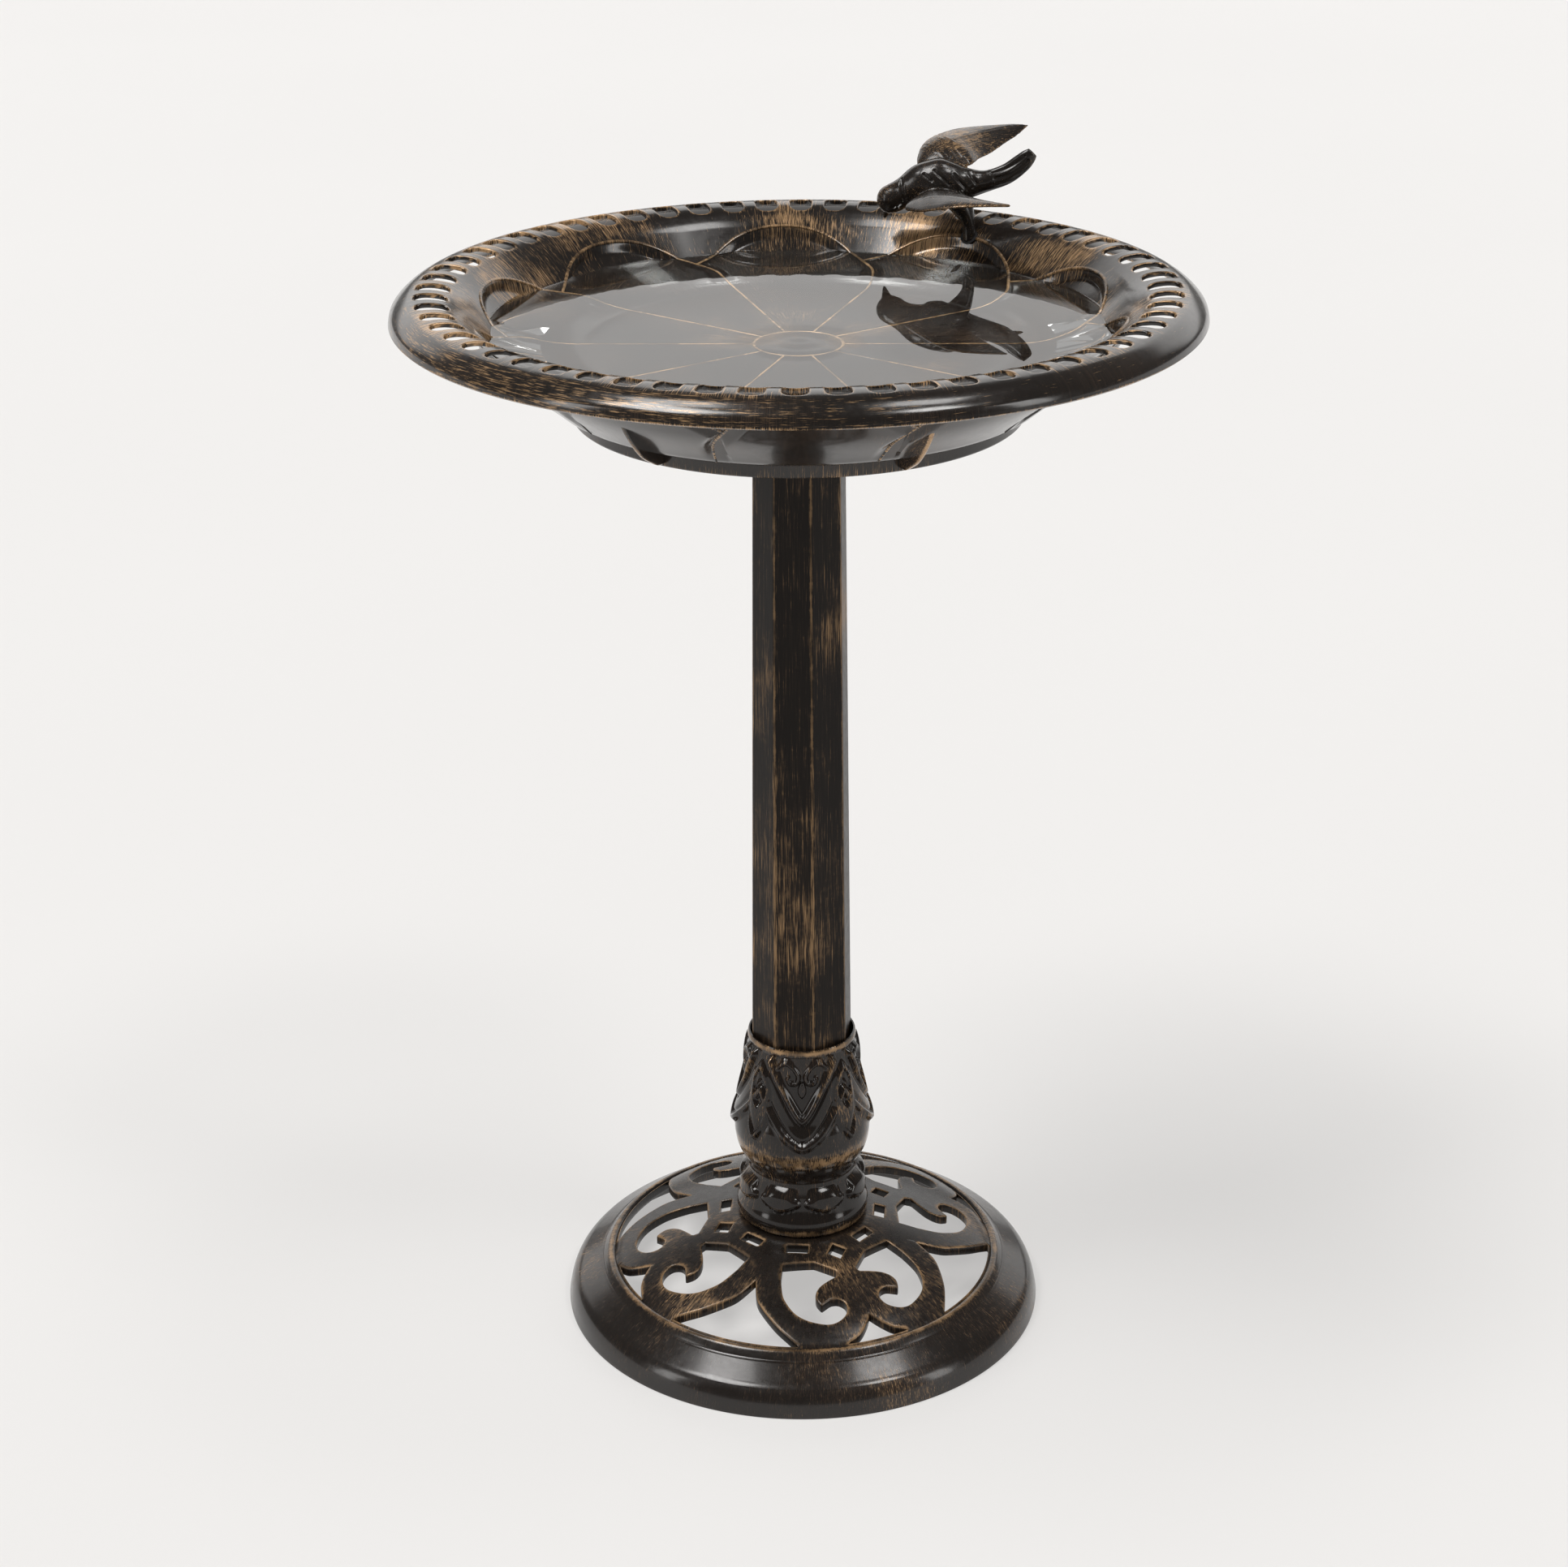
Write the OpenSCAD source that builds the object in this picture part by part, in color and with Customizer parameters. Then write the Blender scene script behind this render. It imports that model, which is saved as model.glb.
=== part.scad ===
// Pedestal bird bath: a moulded basin with a slotted rim and a swallow on its edge, an eight-sided
// hollow column in a vase-shaped collar, and a round openwork base. A threaded rod clamps the base,
// collar, column and cap together; the basin drops over the cap's spigot and lifts off to be emptied.
// Millimetres, +Z up. The origin is on the ground, on the column's axis.

/* [Basin] */
// Radius of the basin at the widest part of its rolled rim
rim_r = 254; // [250:1:260]
// Height of the rim's crest above the ground
crest_z = 725.5; // [725:0.5:728]
// Number of drain slots around the rim
slot_count = 60; // [30:2:60]
// Radius at the inner end of a slot
slot_in_r = 216.8; // [214:0.2:220]
// Radius at the outer end of a slot
slot_out_r = 238; // [234:0.5:240]
// Width of a slot
slot_w = 14.6; // [10:0.2:15]
// Thickness of the basin's moulded wall, measured upright
wall_t = 5.5; // [4:0.5:6]
// Number of stiffening fins under the bowl
fin_count = 6; // [3:1:8]
// Thickness of a fin
fin_t = 4; // [3:0.5:5]

/* [Column] */
// Radius of the column across its corners where it leaves the collar
column_low_r = 34.85; // [34:0.05:34.9]
// Radius of the column across its corners at its top
column_top_r = 30.5; // [30:0.1:32]
// Height of the column's top above the ground
column_top_z = 628; // [624:1:628]
// Wall thickness of the column across its corners
column_wall = 3.3; // [3:0.1:3.6]
// Turn of the column's corners about its axis
column_turn = 13.4; // [0:0.1:45]

/* [Base] */
// Radius of the base where it stands on the ground
base_r = 165.2; // [160:0.2:170]
// Height of the base's flat hub, which the collar stands on
hub_z = 65; // [64:0.5:66]
// Thickness of the openwork
openwork_t = 7; // [5:0.5:8]
// Turn of the four scroll motifs about the axis
motif_turn = 293; // [0:1:360]

/* [Fixings] */
// Radius of the threaded tie rod
rod_r = 4; // [3:0.5:4]
// Radius of the round spigot that the basin turns on
spigot_r = 22; // [20:0.5:23]
// Running clearance between the spigot and the basin's socket
spigot_gap = 0.08; // [0.05:0.01:0.1]
// Direction from the axis to the bird's foot
bird_turn = 56; // [0:1:360]
// Distance from the axis to the bird's foot
bird_r = 205.5; // [200:0.5:206]

/* [Hidden] */
$fn = 96;
eps = 0.01;

bronze_black = [0.16, 0.13, 0.11];
steel_grey = [0.62, 0.62, 0.64];

// Basin heights
wall_rise = crest_z - 216.5;            // the wall's top face follows height = radius + wall_rise
floor_z = crest_z - 66;
floor_under_z = crest_z - 69.5;
foot_z = floor_under_z - 10;

// Column and collar
collar_top_z = 207;
socket_r = 35.2;
socket_z = 126;                         // the column stands here, inside the collar
socket_floor_t = 4;
collar_hollow_r = 33;
column_in_r = column_low_r - column_wall;
column_in_top_r = column_top_r - column_wall;

// Base
bead_in_r = 132;                        // inner edge of the raised bead around the openwork
opening_r = 130.9;                      // the openings stop just short of the bead
bead_z = 33;
hub_r = 48;
motif_count = 4;

// Cap, seat washer and socket stack up on the column
cap_t = 4;
cap_top_z = column_top_z + cap_t;
seat_washer_t = 2.5;
seat_gap = 0.03;
socket_low_z = cap_top_z + seat_washer_t;
spigot_top_z = cap_top_z + 19;
socket_roof_z = spigot_top_z + 1.5;
spigot_cup_r = 13;
spigot_cup_z = cap_top_z + 6;

// Tie rod fixings
nut_h = 6.5;
nut_r = 7.5;
washer_t = 1.6;
washer_r = 8.4;
rod_tail = 4;
hub_under_z = hub_z - openwork_t;

// Bird fixing: a boss under the sloping wall gives the screw a flat seat
screw_r = 2;
screw_head_h = 3;
seal_t = 1;
seal_r = 6;
seal_gap = 0.1;                         // keeps the flat seal clear of the hollow curve of the wall
boss_r = 7;
bird_foot_z = bird_r + wall_rise;
boss_z = bird_foot_z - wall_t - boss_r - 1;
bird_washer_t = 1;

// A smooth curve through the points p, with n steps between neighbours
function blend_point(a, b, c, d, t) =
    0.5 * (2 * b + (c - a) * t + (2 * a - 5 * b + 4 * c - d) * t * t + (3 * b - a - 3 * c + d) * t * t * t);
function smooth(p, n) = [
    for (i = [0:len(p) - 2], k = [0:n - 1])
        blend_point(p[max(i - 1, 0)], p[i], p[i + 1], p[min(i + 2, len(p) - 1)], k / n),
    p[len(p) - 1]
];
function reversed(p) = [for (i = [len(p) - 1:-1:0]) p[i]];
function flipped(p) = [for (q = reversed(p)) [-q[0], q[1]]];
function swapped(p) = [for (q = reversed(p)) [q[1], q[0]]];
function arc(r, a0, a1, n) = [for (k = [0:n]) r * [cos(a0 + (a1 - a0) * k / n), sin(a0 + (a1 - a0) * k / n)]];

// Moves its children to the upright line through the bird's foot, at height z
module at_bird_post(z) {
    rotate(bird_turn) translate([bird_r, 0, z]) children();
}

// Moves its children to the bird's foot, where +Z is the sloping wall's inward normal
module at_bird_foot() {
    at_bird_post(bird_foot_z) rotate([0, -45, 0]) children();
}

// ---- basin ----

function rim_top() = smooth([
    [rim_r, crest_z - 15.5], [rim_r - 1.5, crest_z - 10], [rim_r - 7, crest_z - 4.5], [rim_r - 14, crest_z - 1],
    [rim_r - 25, crest_z], [rim_r - 35, crest_z - 1.7], [rim_r - 43, crest_z - 6.5],
    [rim_r - 48, rim_r - 48 + wall_rise]], 2);
function rim_under() = smooth([
    [rim_r - 1, crest_z - 16.5], [rim_r - 3.5, crest_z - 16.5], [rim_r - 5.5, crest_z - 12.5],
    [rim_r - 14, crest_z - 5], [rim_r - 24, crest_z - 3], [rim_r - 37, crest_z - 5.5],
    [rim_r - 44, crest_z - 11.5], [rim_r - 47, rim_r - 47 + wall_rise - wall_t]], 2);
function bowl_top() = smooth([[160, 160 + wall_rise], [152, floor_z + 3.7], [140, floor_z]], 2);

module basin_shell() {
    rotate_extrude() polygon(concat(
        rim_top(),
        bowl_top(),
        [[29, floor_z], [27, floor_z + 1], [0, floor_z + 1],
         [0, socket_roof_z], [spigot_r + spigot_gap, socket_roof_z],
         [spigot_r + spigot_gap, socket_low_z], [30, socket_low_z], [30, floor_under_z],
         [137, floor_under_z], [137, foot_z], [142.5, foot_z], [143, foot_z + 1], [143, floor_under_z],
         [150, floor_under_z], [155, 155 + wall_rise - wall_t]],
        reversed(rim_under())));
}

// Plan of one slot: a rectangle with its corners taken off
module slot_plan() {
    length = slot_out_r - slot_in_r;
    corner = 4;
    translate([slot_in_r, -slot_w / 2]) polygon([
        [corner, 0], [length - corner, 0], [length, corner], [length, slot_w - corner],
        [length - corner, slot_w], [corner, slot_w], [0, slot_w - corner], [0, corner]]);
}

module rim_slots() {
    translate([0, 0, crest_z - 30]) linear_extrude(40)
        for (i = [0:slot_count - 1]) rotate(-0.5 + i * 360 / slot_count) slot_plan();
}

// A fin stands on the outside of the wall and runs down to the foot ring
module fin() {
    rotate([90, 0, 0]) translate([0, 0, -fin_t / 2]) linear_extrude(fin_t) polygon([
        [190, 191 + wall_rise - wall_t], [181, 174.5 + wall_rise - wall_t], [153.6, foot_z + 5], [149, foot_z + 2],
        [142, foot_z + 2], [142, floor_under_z + 1], [151, floor_under_z + 1]]);
}

// The boss under the bird's foot stops at the wall's inner face
module bird_boss() {
    difference() {
        at_bird_post(boss_z) cylinder(r = boss_r, h = 2 * boss_r + 4);
        rotate_extrude() polygon([
            [190, 190 + wall_rise], [rim_r - 48, rim_r - 48 + wall_rise], [230, crest_z + 5], [190, crest_z + 5]]);
    }
}

module basin() {
    color(bronze_black) difference() {
        union() {
            basin_shell();
            bird_boss();
            for (i = [0:fin_count - 1]) rotate(235.3 + i * 360 / fin_count) fin();
        }
        rim_slots();
        at_bird_post(boss_z - 1) cylinder(r = screw_r + 0.3, h = 40);
    }
}

// ---- column, collar and base ----

module column() {
    color(bronze_black) rotate(column_turn) difference() {
        union() {
            translate([0, 0, socket_z]) cylinder(r = column_low_r, h = collar_top_z - socket_z, $fn = 8);
            translate([0, 0, collar_top_z]) cylinder(
                r1 = column_low_r, r2 = column_top_r, h = column_top_z - collar_top_z, $fn = 8);
        }
        translate([0, 0, socket_z - eps]) cylinder(r = column_in_r, h = collar_top_z - socket_z + 2 * eps, $fn = 8);
        translate([0, 0, collar_top_z]) cylinder(
            r1 = column_in_r, r2 = column_in_top_r, h = column_top_z - collar_top_z + eps, $fn = 8);
    }
}

module collar() {
    color(bronze_black) rotate_extrude() polygon(concat(
        [[rod_r + 1, socket_z], [rod_r + 1, socket_z - socket_floor_t],
         [collar_hollow_r, socket_z - socket_floor_t], [collar_hollow_r, hub_z]],
        smooth([[43, hub_z], [44.8, hub_z + 2], [45.8, hub_z + 6], [45.6, hub_z + 11], [43.8, 81], [41.8, 88],
                [40.8, 95]], 2),
        smooth([[37.8, 101], [38.2, 107], [42.2, 114.6], [45, 121], [46.3, 127.6], [46.8, 134], [45.9, 143],
                [42.7, 153], [39.8, 166], [38.3, 176], [38.3, 187], [37.4, 198]], 2),
        [[36.4, 201], [37, 204], [36.4, collar_top_z], [socket_r, collar_top_z], [socket_r, socket_z]]));
}

// Height of the openwork's top face, falling from the hub to the bead
function dome_z(r) = bead_z + (hub_z - bead_z) * pow((bead_in_r - r) / (bead_in_r - hub_r), 0.65);
dome_steps = 8;
function dome_line(drop) = [
    for (k = [0:dome_steps]) let (r = hub_r + (bead_in_r - hub_r) * k / dome_steps) [r, dome_z(r) - drop]
];

// One side of a motif's heart-shaped opening, with u across the motif and v away from the hub
function heart_opening() = concat(
    [[39, 57], [19, 64], [7, 76]],
    smooth([[8, 80], [16, 82], [23, 84.5], [28, 88.5], [30, 93.5], [28.5, 99.5]], 2),
    smooth([[24, 98], [20, 97], [15.5, 98.5], [12.5, 103], [14, 109], [19, 113], [26, 114.5],
            [33, 112.5], [42, 106], [47.5, 98], [49.5, 88], [49, 80], [45, 68]], 2));
// The outer edge of a motif's band, from its neighbour to the bead
function band_edge() = smooth([[61, 61], [66, 75], [66, 85], [63, 100], [58, 112], [53.9, 119.2]], 2);
function gap_opening() = concat(band_edge(), arc(opening_r, 65.7, 24.3, 8), swapped(band_edge()));
function notch_edge() = smooth([[0, 115], [5, 121], [12, 126.5], [21.7, 129]], 2);
function notch_opening() = concat(notch_edge(), arc(opening_r, 80.5, 99.5, 4), flipped(notch_edge()));

module motif_openings() {
    polygon(heart_opening());
    polygon(flipped(heart_opening()));
    polygon(gap_opening());
    polygon(notch_opening());
    translate([0, 59.5]) rotate(45) square(9.5, center = true);
    for (side = [-1, 1]) rotate(27 * side) translate([0, 54]) square([15, 7], center = true);
}

module base() {
    color(bronze_black) difference() {
        rotate_extrude() polygon(concat(
            [[rod_r + 0.5, hub_under_z], [rod_r + 0.5, hub_z], [28, hub_z], [28, hub_z + 5],
             [collar_hollow_r - 0.2, hub_z + 5], [collar_hollow_r - 0.2, hub_z]],
            dome_line(0),
            smooth([[134, bead_z + 0.6], [136, bead_z + 0.4], [139, 31.5], [140.8, 29.2]], 2),
            [[142, 28.8], [156, 20.6]],
            smooth([[158.4, 18.8], [161.4, 15], [163.6, 9.6], [base_r, 2]], 2),
            [[base_r, 0], [base_r - 3.6, 0]],
            smooth([[base_r - 5, 7], [157, 13.5], [153, 18.4], [149, 20.9], [145, 23.2]], 2),
            reversed(dome_line(openwork_t))));
        linear_extrude(hub_z + 10) for (i = [0:motif_count - 1])
            rotate(motif_turn - 90 + i * 360 / motif_count) motif_openings();
    }
}

// ---- cap, rod and fasteners ----

module top_cap() {
    color(bronze_black) difference() {
        union() {
            rotate(column_turn) translate([0, 0, column_top_z]) cylinder(r = column_top_r, h = cap_t, $fn = 8);
            rotate(column_turn) translate([0, 0, column_top_z - 20])
                cylinder(r = column_in_top_r - 0.1, h = 20 + eps, $fn = 8);
            translate([0, 0, cap_top_z - eps]) cylinder(r = spigot_r, h = spigot_top_z - cap_top_z + eps);
        }
        translate([0, 0, spigot_cup_z]) cylinder(r = spigot_cup_r, h = 30);
        translate([0, 0, column_top_z - 30]) cylinder(r = rod_r + 0.5, h = 60);
    }
}

rod_low_z = hub_under_z - washer_t - nut_h - rod_tail;
rod_high_z = spigot_cup_z + washer_t + nut_h + 1;

module tie_rod() {
    color(steel_grey) translate([0, 0, rod_low_z]) cylinder(r = rod_r, h = rod_high_z - rod_low_z);
}

module nut(z) {
    translate([0, 0, z]) difference() {
        cylinder(r = nut_r, h = nut_h, $fn = 6);
        translate([0, 0, -1]) cylinder(r = rod_r + 0.05, h = nut_h + 2);
    }
}

module washer(z, hole, outer, t) {
    translate([0, 0, z]) difference() {
        cylinder(r = outer, h = t);
        translate([0, 0, -1]) cylinder(r = hole, h = t + 2);
    }
}

module rod_nuts() {
    color(steel_grey) {
        nut(hub_under_z - washer_t - nut_h);
        nut(spigot_cup_z + washer_t);
    }
}

module rod_washers() {
    color(steel_grey) {
        washer(hub_under_z - washer_t, rod_r + 0.3, washer_r, washer_t);
        washer(spigot_cup_z, rod_r + 0.3, washer_r, washer_t);
    }
}

module seat_washer() {
    color([0.1, 0.1, 0.1]) washer(cap_top_z + seat_gap, spigot_r + spigot_gap, 27.5, seat_washer_t - 2 * seat_gap);
}

// ---- bird ----

module ball(p, r) {
    translate(p) sphere(r = r, $fn = 24);
}

module limb(p, rp, q, rq) {
    hull() {
        ball(p, rp);
        ball(q, rq);
    }
}

module wing(points) {
    hull() for (p = points) translate(p) sphere(r = 1.6, $fn = 16);
}

// The thigh tapers to a narrow foot whose end is cut to the slope of the basin's wall
module bird_leg() {
    difference() {
        union() {
            at_bird_post(bird_foot_z - 4) cylinder(r = 4.4, h = 14);
            at_bird_post(bird_foot_z + 5) rotate([-8, -24, -bird_turn]) cylinder(r1 = 4.4, r2 = 11.5, h = 27);
        }
        at_bird_foot() translate([0, 0, seal_t - 30]) cylinder(r = 30, h = 30);
    }
}

module bird() {
    head = [62, 181, 738];
    chest = [86, 177.5, 747];
    rump = [113, 175.5, 754];
    color(bronze_black) difference() {
        union() {
            limb(head, 9.8, [58.4, 187, 725], 1.5);
            limb(head + [2, 0, 1], 9, chest, 15);
            limb(chest + [4, 0, 1], 15.4, rump, 8.5);
            limb(rump, 7.5, [138, 175, 762], 4.5);
            limb([136, 175, 761], 4.5, [154, 175, 773], 2);
            wing([[72, 146, 740], [88, 165, 750], [112, 160, 746], [137, 109.3, 749.2]]);
            wing([[81, 186, 757], [87, 209, 768], [106, 228, 774.5], [114, 180, 757], [158, 249, 772]]);
            bird_leg();
        }
        at_bird_post(bird_foot_z - 5) cylinder(r = screw_r + 0.05, h = 18);
    }
}

module bird_seal() {
    color([0.08, 0.08, 0.08]) difference() {
        at_bird_foot() translate([0, 0, seal_gap]) cylinder(r = seal_r, h = seal_t - seal_gap);
        at_bird_post(bird_foot_z - 10) cylinder(r = screw_r + 0.3, h = 20);
    }
}

module bird_washer() {
    color(steel_grey) at_bird_post(boss_z - bird_washer_t) washer(0, screw_r + 0.2, seal_r, bird_washer_t);
}

module bird_screw() {
    color(steel_grey) at_bird_post(boss_z - bird_washer_t - screw_head_h) {
        cylinder(r = 4.2, h = screw_head_h);
        cylinder(r = screw_r, h = bird_foot_z + 11 - (boss_z - bird_washer_t - screw_head_h));
    }
}

base();
collar();
column();
top_cap();
tie_rod();
rod_nuts();
rod_washers();
seat_washer();
basin();
bird();
bird_screw();
bird_washer();
bird_seal();
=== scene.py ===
import math

import bmesh
import bpy
import numpy as np
from mathutils import Matrix, Vector
from mathutils.kdtree import KDTree


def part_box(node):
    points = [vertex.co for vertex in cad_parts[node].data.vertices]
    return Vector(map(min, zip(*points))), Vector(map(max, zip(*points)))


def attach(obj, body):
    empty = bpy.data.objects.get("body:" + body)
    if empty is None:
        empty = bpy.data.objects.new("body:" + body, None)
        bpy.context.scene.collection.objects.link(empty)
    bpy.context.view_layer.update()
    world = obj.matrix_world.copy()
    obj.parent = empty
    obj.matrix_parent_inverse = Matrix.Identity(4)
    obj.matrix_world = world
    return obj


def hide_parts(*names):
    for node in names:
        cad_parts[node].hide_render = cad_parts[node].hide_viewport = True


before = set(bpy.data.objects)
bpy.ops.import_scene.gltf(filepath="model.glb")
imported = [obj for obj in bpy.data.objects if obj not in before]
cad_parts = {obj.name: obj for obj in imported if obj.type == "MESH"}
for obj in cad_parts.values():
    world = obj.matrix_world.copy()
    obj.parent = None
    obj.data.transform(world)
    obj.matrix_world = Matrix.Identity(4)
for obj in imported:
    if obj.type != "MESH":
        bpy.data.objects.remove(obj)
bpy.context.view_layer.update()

MM = 0.001                      # everything below is worked out in millimetres
ROUND = 480                     # columns round the collar and the flange
RIM_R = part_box("basin")[1].x / MM
CREST_Z = 725.5
WALL_RISE = CREST_Z - 216.5     # the bowl's wall follows height = radius + WALL_RISE
WALL_T = 5.5
FLOOR_Z = CREST_Z - 66.0
UNDER_Z = CREST_Z - 69.5
FOOT_Z = UNDER_Z - 10
BASE_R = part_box("base")[1].x / MM
HUB_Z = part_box("collar")[0].z / MM
COLUMN_TOP_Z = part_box("column")[1].z / MM
COLUMN_LOW_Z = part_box("column")[0].z / MM
COLLAR_TOP_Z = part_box("collar")[1].z / MM
SPIGOT_R = 22.0
SOCKET_R = SPIGOT_R + 0.08
CAP_TOP_Z = COLUMN_TOP_Z + 4
SPIGOT_TOP_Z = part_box("top_cap")[1].z / MM
SOCKET_LOW_Z = CAP_TOP_Z + 2.5
SOCKET_ROOF_Z = SPIGOT_TOP_Z + 1.5


def wall(r, under=0.0):
    """The point of the bowl's wall at this radius, so far below its top face."""
    return (r, r + WALL_RISE - under)


# ---- shape helpers

def smooth(points, steps):
    """A Catmull-Rom curve through the points, with so many steps between neighbours."""
    p = np.asarray(points, float)
    out = []
    for i in range(len(p) - 1):
        a, b, c, d = p[max(i - 1, 0)], p[i], p[i + 1], p[min(i + 2, len(p) - 1)]
        for k in range(steps):
            t = k / steps
            out.append(0.5 * (2 * b + (c - a) * t + (2 * a - 5 * b + 4 * c - d) * t ** 2
                              + (3 * b - a - 3 * c + d) * t ** 3))
    out.append(p[-1])
    return np.array(out)


def travel(path):
    """How far along the path each of its points is."""
    return np.concatenate([[0], np.cumsum(np.linalg.norm(np.diff(path, axis=0), axis=1))])


def spread(path, count):
    """The same path with so many points, evenly spaced, its ends kept."""
    p = np.asarray(path, float)
    at = np.linspace(0, travel(p)[-1], count)
    return np.stack([np.interp(at, travel(p), column) for column in p.T], axis=1)


def resample(path, spacing):
    """The same path with points about `spacing` apart, its ends kept."""
    length = travel(np.asarray(path, float))[-1]
    return spread(path, max(2, int(round(length / spacing)) + 1))


def unit(vectors):
    """The same directions at length 1."""
    return vectors / (np.linalg.norm(vectors, axis=-1, keepdims=True) + 1e-12)


def step(x, low, high):
    """0 below low, 1 above high, smooth between."""
    t = np.clip((np.asarray(x, float) - low) / (high - low), 0, 1)
    return t * t * (3 - 2 * t)


def bump(x, centre, half_width):
    """A smooth hill, 1 at the centre and 0 beyond half_width."""
    t = np.clip(1 - np.abs(np.asarray(x, float) - centre) / half_width, 0, 1)
    return t * t * (3 - 2 * t)


def wrap(degrees, period):
    """An angle folded into -period/2 .. period/2."""
    return (np.asarray(degrees, float) + period / 2) % period - period / 2


def polar(radius, degrees, z):
    a = np.radians(degrees)
    return np.stack(np.broadcast_arrays(radius * np.cos(a), radius * np.sin(a), z), axis=-1)


def ring_points(centre, side, up, wide, high, sides):
    """A ring of points round each centre, so wide along side and so high along up."""
    turn = np.arange(sides) * 2 * math.pi / sides
    across = np.cos(turn)[None, :, None] * (side * wide[:, None])[:, None]
    upward = np.sin(turn)[None, :, None] * (up * high[:, None])[:, None]
    return centre[:, None] + across + upward


def distance_to(samples, places):
    """How far each place is from the nearest sample."""
    tree = KDTree(len(samples))
    for k, p in enumerate(samples):
        tree.insert(p, k)
    tree.balance()
    return np.array([tree.find(p)[2] for p in places])


def vertex_places(mesh):
    places = np.zeros(len(mesh.vertices) * 3)
    mesh.vertices.foreach_get("co", places)
    return places.reshape(-1, 3) / MM


def set_attributes(mesh, wear, grain):
    """Stores the two values that the paints read at each vertex."""
    stores = (("wear", "FLOAT", "value", wear), ("grain", "FLOAT_VECTOR", "vector", grain))
    for name, kind, field, values in stores:
        store = mesh.attributes.new(name, kind, "POINT").data
        store.foreach_set(field, np.asarray(values).astype(np.float32).ravel())


def new_object(name, data):
    obj = bpy.data.objects.new(name, data)
    bpy.context.scene.collection.objects.link(obj)
    return obj


def evaluated_mesh(obj):
    """The object's shape with its modifiers, as a mesh. The object itself is removed."""
    mesh = bpy.data.meshes.new_from_object(obj.evaluated_get(bpy.context.evaluated_depsgraph_get()))
    bpy.data.objects.remove(obj)
    return mesh


def turn_outward(bm):
    """Turns round the faces of every closed shell that is inside out."""
    seen = set()
    for first in bm.faces:
        if first in seen:
            continue
        shell, queue = [], [first]
        seen.add(first)
        while queue:
            face = queue.pop()
            shell.append(face)
            for edge in face.edges:
                for other in edge.link_faces:
                    if other not in seen:
                        seen.add(other)
                        queue.append(other)
        volume = 0.0
        for face in shell:
            origin = face.verts[0].co
            for a, b in zip(face.verts[1:-1], face.verts[2:]):
                volume += origin.dot(a.co.cross(b.co))
        if volume < 0:
            bmesh.ops.reverse_faces(bm, faces=shell)


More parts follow.
